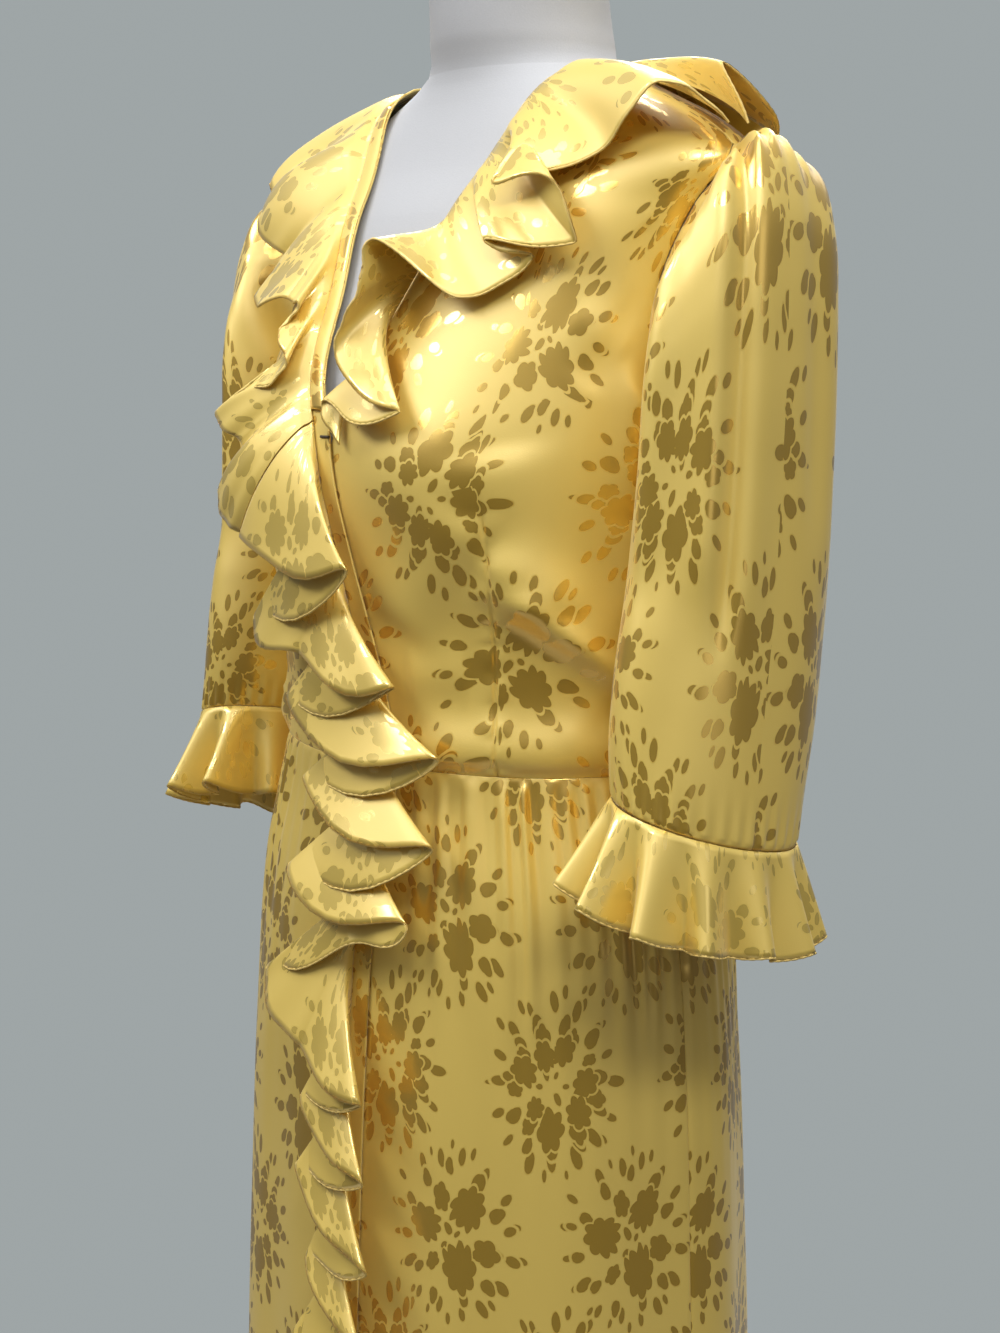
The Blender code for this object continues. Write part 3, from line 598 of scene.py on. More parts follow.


# %% [markdown]
# The bodice is cut in two fronts and a back. A cloth simulation could drape
# them, but on a close fit it mostly shows noise. The panels follow the form,
# and their life is placed one by one: the pinch of each seam, the dart under the
# bust, and soft drag lines from bust to side and waist.


# %% Edges, puckers and creases
# Depth of a seam's dip, and height of the puckers beside it. They are higher
# beside darts and beside the side seams of the skirt.
SEAM_DIP = 0.0004
SEAM_PUCKER = 0.0003
DEEP_PUCKER = 0.0005


def spread(count):
    """Even shares from 0 to 1, with four more close to both ends."""
    close = np.array([0.12, 0.28, 0.5, 0.8]) * 0.016
    return np.unique(np.concatenate([np.linspace(0, 1, count + 1), close, 1 - close]))


def seam_pinch(distance, run, pucker=SEAM_PUCKER):
    """The cloth dips into a seam over 2 mm and puckers beside it: short waves
    along the seam that die out within a centimetre."""
    ripple = np.sin(run * 640 + 2.0 * np.sin(run * 71)) * np.sin(run * 233 + 1.0)
    waves = pucker * ripple * bell(distance, 0.007) * (1 - bell(distance, 0.0012))
    return waves - SEAM_DIP * bell(distance, 0.0014)


def creases(table, angle, height):
    """Soft ridges and troughs from a table in degrees and centimetres: angle
    and height of both ends, half width in millimetres, depth in millimetres.
    Each fades from its middle line as a bell curve and runs out at its ends."""
    total = 0.0
    for a0, h0, a1, h1, wide, deep in table:
        x0, x1 = np.radians(a0) * BODY_RADIUS, np.radians(a1) * BODY_RADIUS
        y0, y1 = h0 / 100, h1 / 100
        dx, dy = x1 - x0, y1 - y0
        run = ((angle * BODY_RADIUS - x0) * dx + (height - y0) * dy) / (dx * dx + dy * dy)
        held = np.clip(run, 0, 1)
        apart = np.hypot(angle * BODY_RADIUS - x0 - held * dx, height - y0 - held * dy)
        fade = ease(1.3 * (1 - np.abs(2 * held - 1) ** 3))
        total = total + deep / 1000 * bell(apart, wide / 1000) * fade
    return total


# Creases of the left front: the dart, drag lines from bust to waist and side.
CREASES_FRONT_LEFT = (
    (41, 15.5, 42, 0.5, 6, 0.9),
    (47, 15.5, 46, 0.5, 6, 0.9),
    (42, 12.6, 84, 5.8, 20, 8.0),
    (46, 10.9, 84, 4.6, 8, 6.0),
    (46, 19, 56, 9, 22, 3.5),
    (78, 24, 82, 8, 14, 6.0),
    (14, 1.4, 92, 1.6, 17, 6.0),
    (42, 15, 18, 8, 20, 3.5),
    (20, 5.5, 38, 6, 14, 2.0),
    (62, 22, 76, 27, 12, -1.4),
    (55, 26, 74, 24, 10, 1.0),
    (66, 31, 78, 27, 9, -1.0),
    (60, 2, 80, 6, 10, 0.9),
    (20, 22, 34, 29, 18, 0.8),
    (75, 14, 84, 19, 9, -0.9),
)
CREASES_FRONT_RIGHT = (
    (-41, 15.5, -42, 0.5, 6, 0.9),
    (-46, 12, -78, 6.5, 20, 6.0),
    (-50, 20, -60, 10, 21, 3.2),
    (-34, 1.4, -88, 1.7, 17, 5.6),
    (-76, 22, -79, 9, 11, 4.6),
    (-30, 10, -18, 2, 12, 1.0),
    (-60, 22, -77, 26, 12, -1.3),
    (-57, 17, -75, 11, 13, 1.0),
    (-62, 3, -80, 8, 10, 0.9),
)
CREASES_BACK = (
    (92, 1.6, 180, 1.7, 17, 5.6),
    (180, 1.7, 268, 1.6, 17, 5.6),
    (102, 6, 138, 13, 20, 5.0),
    (258, 6, 226, 13, 20, 5.2),
    (110, 18, 128, 24, 15, 4.0),
    (250, 18, 230, 23, 15, 4.2),
    (168, 22, 192, 24, 18, 2.6),
    (128, 26, 150, 20, 15, -1.3),
    (232, 25, 208, 19, 15, -1.2),
    (165, 12, 140, 4, 16, 1.2),
    (196, 12, 222, 5, 16, 1.1),
    (120, 12, 104, 4, 14, -1.1),
    (240, 13, 256, 5, 14, -1.1),
    (172, 33, 190, 32, 12, 0.9),
    (110, 22, 124, 30, 12, 1.0),
    (250, 21, 236, 30, 12, 1.0),
    (182, 8, 178, 2, 14, -0.9),
)
CREASES = {"left": CREASES_FRONT_LEFT, "right": CREASES_FRONT_RIGHT, "back": CREASES_BACK}

print("creases", {part: len(table) for part, table in CREASES.items()})

# Darts of the bodice: angle in degrees and height of the top in centimetres.
DARTS = {"left": ((44, 16.5),), "right": ((-44, 16.5),), "back": ((149, 16.0), (211, 17.0))}

# Closest rows beside a waist seam, and the deepest that a fold may sink in.
SEAM_ROWS = np.array([0.00004, 0.0006, 0.0014, 0.0025, 0.004, 0.006])
DEEPEST_FOLD = -0.0011


# %% The three bodice panels
def crowded(columns, places):
    """Shares from 0 to 1 in each row, seven times closer beside the places."""
    fine = np.linspace(0, 1, 1200)
    rows = []
    for row in places:
        crowd = 1 + sum(6 * bell(fine - at, 0.016) for at in row)
        run = np.concatenate([[0.0], np.cumsum((crowd[1:] + crowd[:-1]) / 2)])
        rows.append(np.interp(columns, run / run[-1], fine))
    return np.array(rows)


def bodice_cloth(part, columns):
    """Bodice panel points: the solid's own edges, with seam pinches, stitched
    darts and creases added to its lift."""
    height = np.concatenate([SEAM_ROWS, np.linspace(0.009, SHOULDER_TOP, 104)])[:, None]
    if part == "back":
        cut = armhole_angle(height, ARMHOLE_BACK) + SIDE_GAP
        first, last = np.pi / 2 + cut, 3 * np.pi / 2 - cut
    else:
        side = 1 if part == "left" else -1
        first = side * angle_at(edge_x(height), height)
        last = side * (np.pi / 2 - armhole_angle(height, ARMHOLE_FRONT) - SIDE_GAP)
    darts = np.hstack([(np.radians(a) - first) / (last - first) for a, top in DARTS[part]])
    share = crowded(spread(columns), np.clip(darts, 0.1, 0.9))
    angle = first + (last - first) * share
    rate = arc_rate(angle, height)
    from_last = np.abs(angle - last) * rate
    from_first = np.abs(angle - first) * rate
    pinch = seam_pinch(from_last, height) + seam_pinch(height + 0 * angle, angle * rate)
    if part == "back":
        pinch = pinch + seam_pinch(from_first, height)
    for a, top in DARTS[part]:
        stitched = 3.0 * seam_pinch(np.abs(angle - np.radians(a)) * rate, height, DEEP_PUCKER)
        pinch = pinch + stitched * ease((top / 100 - height) / 0.02)
    folds = creases(CREASES[part], angle, height)
    folds = folds * ease((from_last - 0.002) / 0.02) * ease((from_first - 0.002) / 0.02)
    folds = np.maximum(folds * ease(height / 0.008) * ease((SHOULDER_TOP - height) / 0.03), DEEPEST_FOLD)
    lift = CLOTH + (overlap_lift(angle, height) if part == "right" else 0.0)
    return place(angle, height, lift + pinch + folds)


for part, node, columns, start in (
    ("left", "bodice_front_left", 120, (0.031, 0.02)),
    ("right", "bodice_front_right", 120, (0.07, 0.05)),
    ("back", "bodice_back", 160, (0.0, 0.0)),
):
    sew_panel(node, bodice_cloth(part, columns), part != "right", start)

# %% [markdown]
# The skirt is gathered into the waist seam. Small pleats a centimetre or so
# apart leave the seam, fade within a hand's width and gather into a few broad
# soft folds that run on to the hem. Pleats could be modelled one by one, but
# waves whose count drifts round the body look as uneven as real gathers.

# %% Gathers of the skirt
GATHERS_IN_HALF = 28

# Height and size of the waist gathers, of the broad folds and of the narrow
# pleats between the gathers.
WAIST_GATHERS = np.array([
    (-0.8, 0.0),
    (-0.30, 0.0),
    (-0.17, 0.0006),
    (-0.12, 0.0016),
    (-0.06, 0.0032),
    (-0.025, 0.0030),
    (0.0, 0.0014),
])
BROAD_FOLDS = np.array([(-0.8, 0.0075), (-0.35, 0.005), (-0.12, 0.0025), (-0.02, 0.0), (0.0, 0.0)])
FINE_PLEATS = np.array([
    (-0.16, 0.0),
    (-0.09, 0.0014),
    (-0.05, 0.0024),
    (-0.02, 0.0030),
    (-0.004, 0.0010),
    (0.0, 0.0),
])

# Height of the line of stitches above the hem, and how deep it presses in.
HEM_STITCHES = 0.028
STITCH_DIP = 0.0006

print(f"{GATHERS_IN_HALF} gathers in each half, up to {1000 * WAIST_GATHERS[:, 1].max():.1f} mm high")


def gather_lift(angle, height):
    """Lift of the waist gathers and, lower down, of the broad soft folds."""
    warp = angle + 0.035 * np.sin(3.1 * angle + 0.4) + 0.02 * np.sin(7.3 * angle)
    wave = 0.5 + 0.5 * np.cos(2 * GATHERS_IN_HALF * warp)
    uneven = 0.75 + 0.25 * np.sin(5.0 * angle + 1.3)
    broad = 0.5 + 0.5 * np.cos(11 * angle + 0.9 * np.sin(2 * angle))
    return np.interp(height, *WAIST_GATHERS.T) * wave * uneven + np.interp(height, *BROAD_FOLDS.T) * broad


def fine_gathers(angle, height):
    """Narrow pleats of uneven size between the main gathers, deepest 2 cm
    under the seam: a product of two waves whose count drifts round the body."""
    drift = angle * 61 + 1.9 * np.sin(angle * 5.0) + 1.2 * np.sin(angle * 13.0 + 1.0)
    wave = np.sin(drift) * (0.6 + 0.4 * np.sin(angle * 23.0 + 0.7))
    return np.interp(height, *FINE_PLEATS.T) * wave


# %% The three skirt panels
def skirt_heights():
    """Rows from the waist seam to the hem, closest together in the gathers."""
    near = -np.linspace(0.009, 0.14, 34)
    far = -np.linspace(0.148, -SKIRT_HEM - 0.004, 38)
    end = np.array([SKIRT_HEM + 0.0025, SKIRT_HEM + 0.001, SKIRT_HEM])
    return np.concatenate([-SEAM_ROWS, near, far, end])


def skirt_cloth(part, columns):
    """Skirt panel points: gathers and folds, pinched side and waist seams, and
    the line of stitches 28 mm above the hem."""
    height = skirt_heights()[:, None]
    side_line = np.pi / 2 - SIDE_GAP
    if part == "back":
        first, last = np.pi - side_line, np.pi + side_line
    else:
        side = 1 if part == "left" else -1
        first, last = side * angle_at(edge_x(height), height), side * side_line
    angle = first + (last - first) * spread(columns)[None, :] + 0 * height
    rate = arc_rate(angle, height)
    lift = gather_lift(angle, height) + fine_gathers(angle, height)
    lift = lift * (0.12 + 0.88 * ease(-height / 0.008))
    if part == "left":
        lift = lift * ease((angle - np.radians(17)) / np.radians(14))
    if part == "right":
        lift = lift * ease((-angle - np.radians(4)) / np.radians(20))
        lift = lift + OVERLAP_STEP * overlap(angle)
    pinch = seam_pinch(np.abs(angle - last) * rate, height, DEEP_PUCKER)
    pinch = pinch + seam_pinch(-height + 0 * angle, angle * rate)
    if part == "back":
        pinch = pinch + seam_pinch(np.abs(angle - first) * rate, height, DEEP_PUCKER)
    hem = -STITCH_DIP * bell(height - SKIRT_HEM - HEM_STITCHES, 0.0012)
    return place(angle, height, np.maximum(CLOTH + lift + hem, CLOTH) + pinch)


for part, node, columns, start in (
    ("left", "skirt_front_left", 240, (0.02, 0.01)),
    ("right", "skirt_front_right", 240, (0.0, 0.06)),
    ("back", "skirt_back", 350, (0.05, 0.0)),
):
    sew_panel(node, skirt_cloth(part, columns), part == "right", start)

# %% [markdown]
# A sleeve is a tube from the armhole to just under the elbow. It is gathered
# into a small puff at the top of the shoulder, hangs in one long fold down its
# front, and ends in a gathered flounce. It could be bent from a straight tube,
# but rings of set sizes meet the armhole exactly.

# %% Rings and folds of the sleeve
# Rings of the left sleeve from armhole to cuff seam: inner x and height,
# outer x and height, centre y, half width in y.
SLEEVE = np.array([
    (0.1672, 0.2045, 0.208, 0.3520, 0.023, 0.045),
    (0.1675, 0.200, 0.222, 0.341, 0.018, 0.063),
    (0.169, 0.190, 0.231, 0.318, 0.014, 0.068),
    (0.169, 0.178, 0.235, 0.282, 0.011, 0.070),
    (0.168, 0.162, 0.236, 0.235, 0.010, 0.071),
    (0.166, 0.135, 0.237, 0.175, 0.008, 0.071),
    (0.165, 0.095, 0.238, 0.110, 0.004, 0.071),
    (0.166, 0.045, 0.240, 0.048, -0.005, 0.070),
    (0.168, 0.005, 0.2415, 0.000, -0.013, 0.066),
    (0.171, -0.012, 0.2415, -0.020, -0.0157, 0.0635),
])
SLEEVE_SLOPE = 0.30

# Folds of the sleeve: degrees round it and share of its length at both ends,
# half width in degrees, depth in millimetres. The first three make the long
# fold down the front: its valley and the ridge at each side.
SLEEVE_FOLDS = (
    (24, 0.02, 31, 0.66, 5.5, -6.0),
    (35, 0.04, 41, 0.62, 9, 4.4),
    (12, 0.06, 20, 0.66, 11, 3.2),
    (62, 0.04, 70, 0.62, 14, -3.0),
    (84, 0.05, 92, 0.55, 16, 2.4),
    (118, 0.10, 104, 0.60, 18, -2.4),
    (150, 0.25, 135, 0.80, 22, 1.8),
    (46, 0.62, 66, 0.95, 16, -2.0),
    (5, 0.45, 352, 0.90, 20, -1.8),
    (342, 0.03, 334, 0.50, 9, -3.0),
    (322, 0.05, 316, 0.60, 14, 2.2),
    (300, 0.10, 306, 0.75, 16, -1.8),
    (262, 0.15, 274, 0.80, 20, 2.2),
    (232, 0.10, 244, 0.55, 18, -2.0),
    (205, 0.40, 214, 0.95, 20, 1.6),
    (90, 0.66, 110, 0.90, 18, 1.5),
)

print("sleeve", len(SLEEVE), "rings and", len(SLEEVE_FOLDS), "folds")


def sleeve_rings(turn):
    """Points of the left sleeve: the armhole, then the rings of the table. The
    lower rings tilt, so that the cuff hangs lower behind and outside."""
    reach = np.where(np.sin(turn) > 0, -ARMHOLE_FRONT, ARMHOLE_BACK) * np.abs(np.sin(turn))
    height = ARMHOLE_MIDDLE + ARMHOLE_HALF * np.cos(turn) * 0.998
    rings = [place(np.pi / 2 + np.radians(reach) - 0.0006 * np.sign(reach), height, CLOTH + 0.0001)]
    last = len(SLEEVE) - 1
    for k, (inner_x, inner_h, outer_x, outer_h, centre_y, half_y) in enumerate(SLEEVE):
        inner = np.array([inner_x, centre_y, WAIST + inner_h])
        outer = np.array([outer_x, centre_y, WAIST + outer_h])
        middle = (inner + outer) / 2
        ring = middle + np.cos(turn)[:, None] * (outer - inner) / 2
        ring = ring - np.sin(turn)[:, None] * np.array([0.0, half_y, 0.0])
        slope = SLEEVE_SLOPE * ease((k - 4) / (last - 4))
        swing = 0.64 * (ring[:, 0] - middle[0]) + 0.77 * (ring[:, 1] - centre_y)
        ring[:, 2] -= slope * swing
        rings.append(ring)
    return np.array(rings)


# %% The two sleeves
def sleeve_push(degree, down):
    """How far the cloth stands out of the smooth tube: the long folds, the
    gathers and puff of the head, and the gathers above the cuff seam."""
    push = 0.0
    for a0, s0, a1, s1, wide, deep in SLEEVE_FOLDS:
        run = np.clip((down - s0) / (s1 - s0), 0, 1)
        here = a0 + (a1 - a0 if abs(a1 - a0) < 180 else a1 - a0 - 360) * run
        apart = (degree - here + 180) % 360 - 180
        fade = ease((down - s0 + 0.08) / 0.12) * ease((s1 + 0.1 - down) / 0.16)
        push = push + deep / 1000 * bell(apart, wide) * fade
    cap = 0.5 + 0.5 * np.cos(np.radians(degree))
    gathers = 0.0022 * np.sin(np.radians(degree * 27 + 30 * np.sin(np.radians(degree * 4)))) * cap ** 4
    push = push + gathers * bell(down - 0.05, 0.07) * ease(down / 0.02)
    push = push + 0.0035 * cap ** 3 * bell(down - 0.09, 0.05)
    cuff = 0.0009 * np.sin(np.radians(degree * 38 + 40 * np.sin(np.radians(degree * 5))))
    push = push + cuff * bell(1 - down, 0.05) * ease((1 - down) / 0.01)
    return push * ease(down / 0.03) - 0.0008 * bell(1 - down, 0.006)


def sleeve_cloth(columns, rows):
    """The rings joined by smooth curves, then pushed along each ring's spokes."""
    turn = ring_angles(columns)
    rings = sleeve_rings(turn)
    lengths = np.linalg.norm(np.diff(rings, axis=0), axis=2).mean(axis=1)
    at = np.concatenate([[0.0], np.cumsum(lengths)])
    share = np.unique(np.concatenate([np.linspace(0, 1, rows), [0.004, 0.008, 0.014, 0.986, 0.992, 0.996]]))
    curve = smooth_curve(share, at / at[-1], rings.reshape(len(rings), -1))
    grid = curve.reshape(len(share), columns, 3)
    spoke = grid - grid.mean(axis=1, keepdims=True)
    spoke = spoke / np.linalg.norm(spoke, axis=2, keepdims=True)
    push = sleeve_push(np.degrees(turn)[None, :], share[:, None])
    return grid + spoke * push[:, :, None]


sleeve = sleeve_cloth(230, 90)
for side, grid, start in (("left", sleeve, (0.04, 0.03)), ("right", mirrored(sleeve), (0.0, 0.07))):
    sew_panel(f"sleeve_{side}", grid, side == "left", start, around=True)

# %% [markdown]
# The ruffles are flounces: strips whose hem is much longer than their seam, so
# the hem has to swing from side to side in flutes that lie over each other
# like shingles. Simulated ruffles fall where they like, so here a table names
# each corner of the hem. A fine overlocked edge runs along every hem.


# %% Ruffle cloth and its overlocked edge
def edge_tube(name, line, around, radius=0.0007, sides=6):
    """Thin rolled hem: a ring of points round each point of the line."""
    after = np.roll(line, -1, axis=0) if around else np.vstack([line[1:], line[-1:]])
    before = np.roll(line, 1, axis=0) if around else np.vstack([line[:1], line[:-1]])
    way = after - before
    way = way / np.linalg.norm(way, axis=1, keepdims=True)
    up = np.array([0.12, 0.2, 0.97])
    first = np.cross(way, up)
    first = first / np.linalg.norm(first, axis=1, keepdims=True)
    second = np.cross(way, first)
    turn = ring_angles(sides)[None, :, None]
    bead = 1 + 0.18 * np.sin(np.arange(len(line)) * 1.9)[:, None, None]
    grid = line[:, None] + radius * bead * (np.cos(turn) * first[:, None] + np.sin(turn) * second[:, None])
    return surface(name, np.transpose(grid, (1, 0, 2)), around=around)


def resampled(line, step, around):
    """The same line with points at even distances."""
    closed = np.vstack([line, line[:1]]) if around else line
    run = np.concatenate([[0.0], np.cumsum(np.linalg.norm(np.diff(closed, axis=0), axis=1))])
    places = np.linspace(0, run[-1], int(run[-1] / step) + 1)
    if around:
        places = places[:-1]
    return np.stack([np.interp(places, run, closed[:, k]) for k in range(3)], -1)


def sew_ruffle(name, grid, start, outward=True, around=False):
    """Ruffle cloth with both faces showing, and its edging. The pattern keeps
    its size along the lower half, which shows most."""
    across = cloth_lengths(grid[grid.shape[0] // 2:], around)[0]
    lengths = (across, cloth_lengths(grid, around)[1])
    made = surface(name + "_cloth", grid, outward, around, start, lengths)
    thicken(made, RUFFLE_CLOTH, 0.0)
    # The ruffles take the satin whose flowers are painted paler, painted light for how the ruffles catch the
    # light.
    finish_piece(made, ruffle_satin_painted_paler, [name])
    rolled = edge_tube(name + "_edging", resampled(grid[-1], 0.0015, around), around)
    finish_piece(rolled, edging, [])


def fold_columns(folds, count):
    """Column places along a ruffle, numbered by fold, crowded at the corners."""
    share = np.linspace(0, 1, count + 1)[:-1]
    share = share - 0.11 * np.sin(2 * np.pi * share)
    return np.append((np.arange(folds)[:, None] + share).ravel(), folds)


# %% Corners of the front ruffles
# Hem of the left neck ruffle in centimetres and degrees, one row per fold:
# height of the seam, angle, height and stand-off of the hem.
RUFFLE_NECK_LEFT = np.array([
    (40.3, 82, 35.0, 1.6),
    (39.9, 64, 35.6, 3.6),
    (38.6, 44, 34.0, 1.0),
    (36.9, 31, 32.0, 2.9),
    (35.4, 52, 29.7, 1.8),
    (34.2, 32, 29.5, 2.0),
    (33.2, 43, 28.8, 1.2),
    (31.8, 30, 26.4, 1.3),
    (30.2, 14, 28.4, 4.4),
    (28.8, 12, 25.6, 3.6),
    (27.4, 8, 22.8, 2.6),
    (25.0, 26, 20.2, 1.4),
    (22.8, 1, 20.9, 1.3),
    (20.8, 6, 18.6, 0.7),
])

# Hem of the right ruffle from the shoulder to the point of the V.
RUFFLE_NECK_RIGHT = np.array([
    (40.2, -80, 35.0, 1.6),
    (39.6, -66, 34.3, 2.3),
    (38.4, -52, 33.8, 1.2),
    (36.4, -58, 32.3, 3.0),
    (34.0, -44, 29.6, 1.2),
    (32.6, -46, 27.0, 2.3),
    (31.0, -22, 26.3, 1.9),
    (29.4, -14, 25.9, 2.1),
    (27.8, -18, 24.3, 2.1),
    (26.2, -12, 22.6, 2.0),
    (24.3, -25, 20.9, 2.4),
    (22.8, -34, 19.6, 3.0),
    (21.7, -26, 18.2, 1.7),
    (20.8, -31, 15.9, 2.8),
    (19.9, -24, 13.9, 2.7),
])

# Hem of the long ruffle from the point of the V to the skirt hem, in
# centimetres and degrees: height of the seam, angle and height of the hem.
RUFFLE_WRAP = np.array([
    (19.8, -24, 13.7),
    (17.8, 15, 12.2),
    (14.8, -23, 8.6),
    (12.4, -4, 6.6),
    (10.4, 23, 5.3),
    (8.4, -12, 3.7),
    (5.6, 33, 1.2),
    (3.2, -4, -1.2),
    (0.8, 32, -4.2),
    (-1.6, -5, -6.6),
    (-3.9, 26, -8.4),
    (-5.8, 13, -10.2),
    (-7.8, -10, -13.0),
    (-10.2, 3, -16.8),
    (-12.8, 18, -19.2),
    (-15.2, 2, -19.9),
    (-17.6, 19, -23.8),
    (-20.0, 1, -24.3),
    (-22.6, 20, -29.0),
    (-25.2, 4, -29.6),
    (-27.8, 19, -34.2),
    (-30.4, 0, -35.2),
    (-33.0, 18, -39.4),
    (-35.6, 2, -40.6),
    (-38.2, 20, -44.8),
    (-40.8, 0, -46.0),
    (-43.4, 18, -50.0),
    (-46.0, 2, -51.2),
    (-48.6, 18, -55.2),
    (-51.2, 0, -56.6),
    (-53.8, 20, -60.6),
    (-56.4, 2, -61.8),
    (-59.0, 18, -65.6),
    (-61.6, 0, -67.2),
    (-64.2, 16, -70.8),
    (-66.6, 4, -72.6),
])

# How far a ruffle's seam lies inside the wrap edge, left and right.
RUFFLE_INSET = {1: 0.002, -1: 0.013}

# Stand-off of the long ruffle: STAND times the drop in centimetres to the
# power RISE, so that upper layers always lie outside lower ones.
STAND = 0.70
RISE = 0.65

# Height of the arch in each fold of the left neck ruffle, as a share of its
# run. The other two ruffles have one share for all their folds.
NECK_LEFT_ARCS = (0.0, 0.0, 0.10, -0.36, 0.06, 0.14, 0.0, 0.0, 0.0, 0.0, 0.14, 0.16, 0.14)

print("hem corners", len(RUFFLE_NECK_LEFT), len(RUFFLE_NECK_RIGHT), len(RUFFLE_WRAP))


# %% The two neck ruffles in front and the wrap ruffle
def plateau(share, width=0.12):
    """Rises steeply from 0, stays near 1 and falls steeply back to 0."""
    return np.tanh(share / width) * np.tanh((1 - share) / width)


def flounce(table, side, seam_lift, arcs, belly, columns, across):
    """Points of a front ruffle, finer than its solid. The hem is one smooth
    line through the table's corners. Between two corners it hangs in an arch,
    a share of its run. Front layers stand a few millimetres proud and back
    layers lie back, so the cloth turns in a round roll at each corner."""
    folds = len(table) - 1
    positions = fold_columns(folds, columns)
    row = np.clip(np.floor(positions).astype(int), 0, folds - 1)
    part = positions - row
    number = np.arange(len(table))
    hem_turn = np.radians(smooth_curve(positions, number, table[:, 1]))
    seam_height = np.interp(positions, number, table[:, 0]) / 100
    seam_turn = angle_at(side * (edge_x(seam_height) + RUFFLE_INSET[side]), seam_height)
    swing = side * (table[row, 1] - table[row + 1, 1])
    run = BODY_RADIUS * np.radians(np.abs(swing))
    level = 0.5 - 0.5 * np.cos(np.pi * part)
    hang = np.resize(arcs, folds)[row] * run * np.sin(np.pi * level)
    hem_height = smooth_curve(positions, number, table[:, 2]) / 100 - hang
    if table.shape[1] > 3:
        hem_lift = smooth_curve(positions, number, table[:, 3]) / 100
    else:
        hem_lift = seam_lift + STAND * (100 * (seam_height - hem_height)) ** RISE / 100
    proud = np.where(swing > 0, belly, -0.9 * belly) * plateau(part) * np.clip(run / 0.05, 0, 1)
    proud = proud + 0.0012 * np.sin(positions * 4.1 + 1.0) * np.sin(positions * 9.7)
    rows = []
    for w in np.linspace(0, 1, across) ** 1.1:
        angle = seam_turn + (hem_turn - seam_turn) * w
        height = seam_height + (hem_height - seam_height) * w
        lift = seam_lift + (hem_lift - seam_lift) * w ** RISE + proud * w ** 2.5
        cloth = CLOTH + 0.0007 + (overlap_lift(angle, height) if side < 0 else 0.0)
        rows.append(place(angle, height, cloth + (lift - cloth) * ease(w / 0.07)))
    return np.array(rows)


for name, table, side, seam_lift, start, arcs, belly, columns, across in (
    ("neck_ruffle_left", RUFFLE_NECK_LEFT, 1, 0.0020, (0.03, 0.02), NECK_LEFT_ARCS, 0.0, 28, 26),
    ("neck_ruffle_right", RUFFLE_NECK_RIGHT, -1, 0.0044, (0.06, 0.05), 0.14, 0.0040, 28, 26),
    ("wrap_ruffle", RUFFLE_WRAP, -1, 0.0044, (0.0, 0.03), 0.20, 0.0026, 18, 22),
):
    sew_ruffle(name, flounce(table, side, seam_lift, arcs, belly, columns, across), start, outward=side < 0)

# %% [markdown]
# Behind the neck the ruffle goes round in a few wide flutes, from shoulder to
# shoulder. It could be one strip with the front ruffles, but here the seam runs
# level, so a strip of its own needs only one height for its whole seam.

# %% The ruffle round the back of the neck
# Hem of the back neck ruffle: angle of the seam, angle, height and stand-off
# of the hem.
RUFFLE_NECK_BACK = np.array([
    (92, 88, 34.9, 1.8),
    (98, 84, 36.2, 5.2),
    (108, 98, 35.2, 2.4),
    (124, 116, 35.0, 1.4),
    (138, 136, 35.6, 3.2),
    (154, 152, 34.8, 1.3),
    (172, 170, 35.2, 3.0),
    (190, 190, 34.8, 1.3),
    (208, 210, 35.4, 3.2),
    (226, 232, 34.9, 1.4),
    (244, 252, 35.4, 3.4),
    (262, 270, 35.0, 1.4),
    (268, 274, 35.1, 1.8),
])

# Height and lift of its seam, and the most centimetres that a flute stands off.
BACK_SEAM_HEIGHT = 0.402
BACK_SEAM_LIFT = 0.0024
BACK_FLUTE_REACH = 3.6


def back_flounce():
    """Points of the back neck ruffle: a smooth hem line in all three ways."""
    number = np.arange(len(RUFFLE_NECK_BACK))
    positions = fold_columns(len(number) - 1, 24)
    seam_turn = np.radians(np.interp(positions, number, RUFFLE_NECK_BACK[:, 0]))
    hem_turn = np.radians(smooth_curve(positions, number, RUFFLE_NECK_BACK[:, 1]))
    hem_height = smooth_curve(positions, number, RUFFLE_NECK_BACK[:, 2]) / 100
    reach = np.minimum(RUFFLE_NECK_BACK[:, 3], BACK_FLUTE_REACH)
    hem_lift = smooth_curve(positions, number, reach) / 100
    rows = []
    for w in np.linspace(0, 1, 26):
        angle = seam_turn + (hem_turn - seam_turn) * w
        height = BACK_SEAM_HEIGHT + (hem_height - BACK_SEAM_HEIGHT) * w
        rows.append(place(angle, height, BACK_SEAM_LIFT + (hem_lift - BACK_SEAM_LIFT) * w ** 0.8))
    return np.array(rows)


sew_ruffle("neck_ruffle_back", back_flounce(), (0.02, 0.07))

# %% [markdown]
# Each sleeve ends in a gathered flounce that stands away from the arm. Its hem
# could be a regular wave, but real flutes differ, so a table gives each corner
# its angle, reach and drop. The right cuff is the left one mirrored.

# %% The ruffles at the cuffs
# Flutes of a cuff ruffle, degrees round the cuff from the outside towards the
# front: angle, reach beyond the seam, drop.
CUFF_FLUTES = np.array([
    (0, 0.014, 0.058),
    (15, 0.003, 0.060),
    (29, 0.018, 0.060),
    (43, 0.004, 0.061),
    (59, 0.024, 0.060),
    (76, 0.004, 0.062),
    (92, 0.028, 0.058),
    (108, 0.003, 0.060),
    (124, 0.030, 0.056),
    (139, 0.004, 0.060),
    (153, 0.016, 0.058),
    (167, 0.000, 0.060),
    (180, 0.006, 0.060),
    (194, 0.000, 0.060),
    (209, 0.010, 0.058),
    (225, 0.002, 0.060),
    (241, 0.016, 0.058),
    (257, 0.003, 0.061),
    (273, 0.020, 0.060),
    (288, 0.003, 0.060),
    (303, 0.018, 0.058),
    (317, 0.003, 0.060),
    (331, 0.016, 0.060),
    (346, 0.003, 0.061),
])

# The flutes swing a quarter wider here than in the solid, about their middle.
CUFF_MIDDLE = 0.012
CUFF_SWING = 1.25


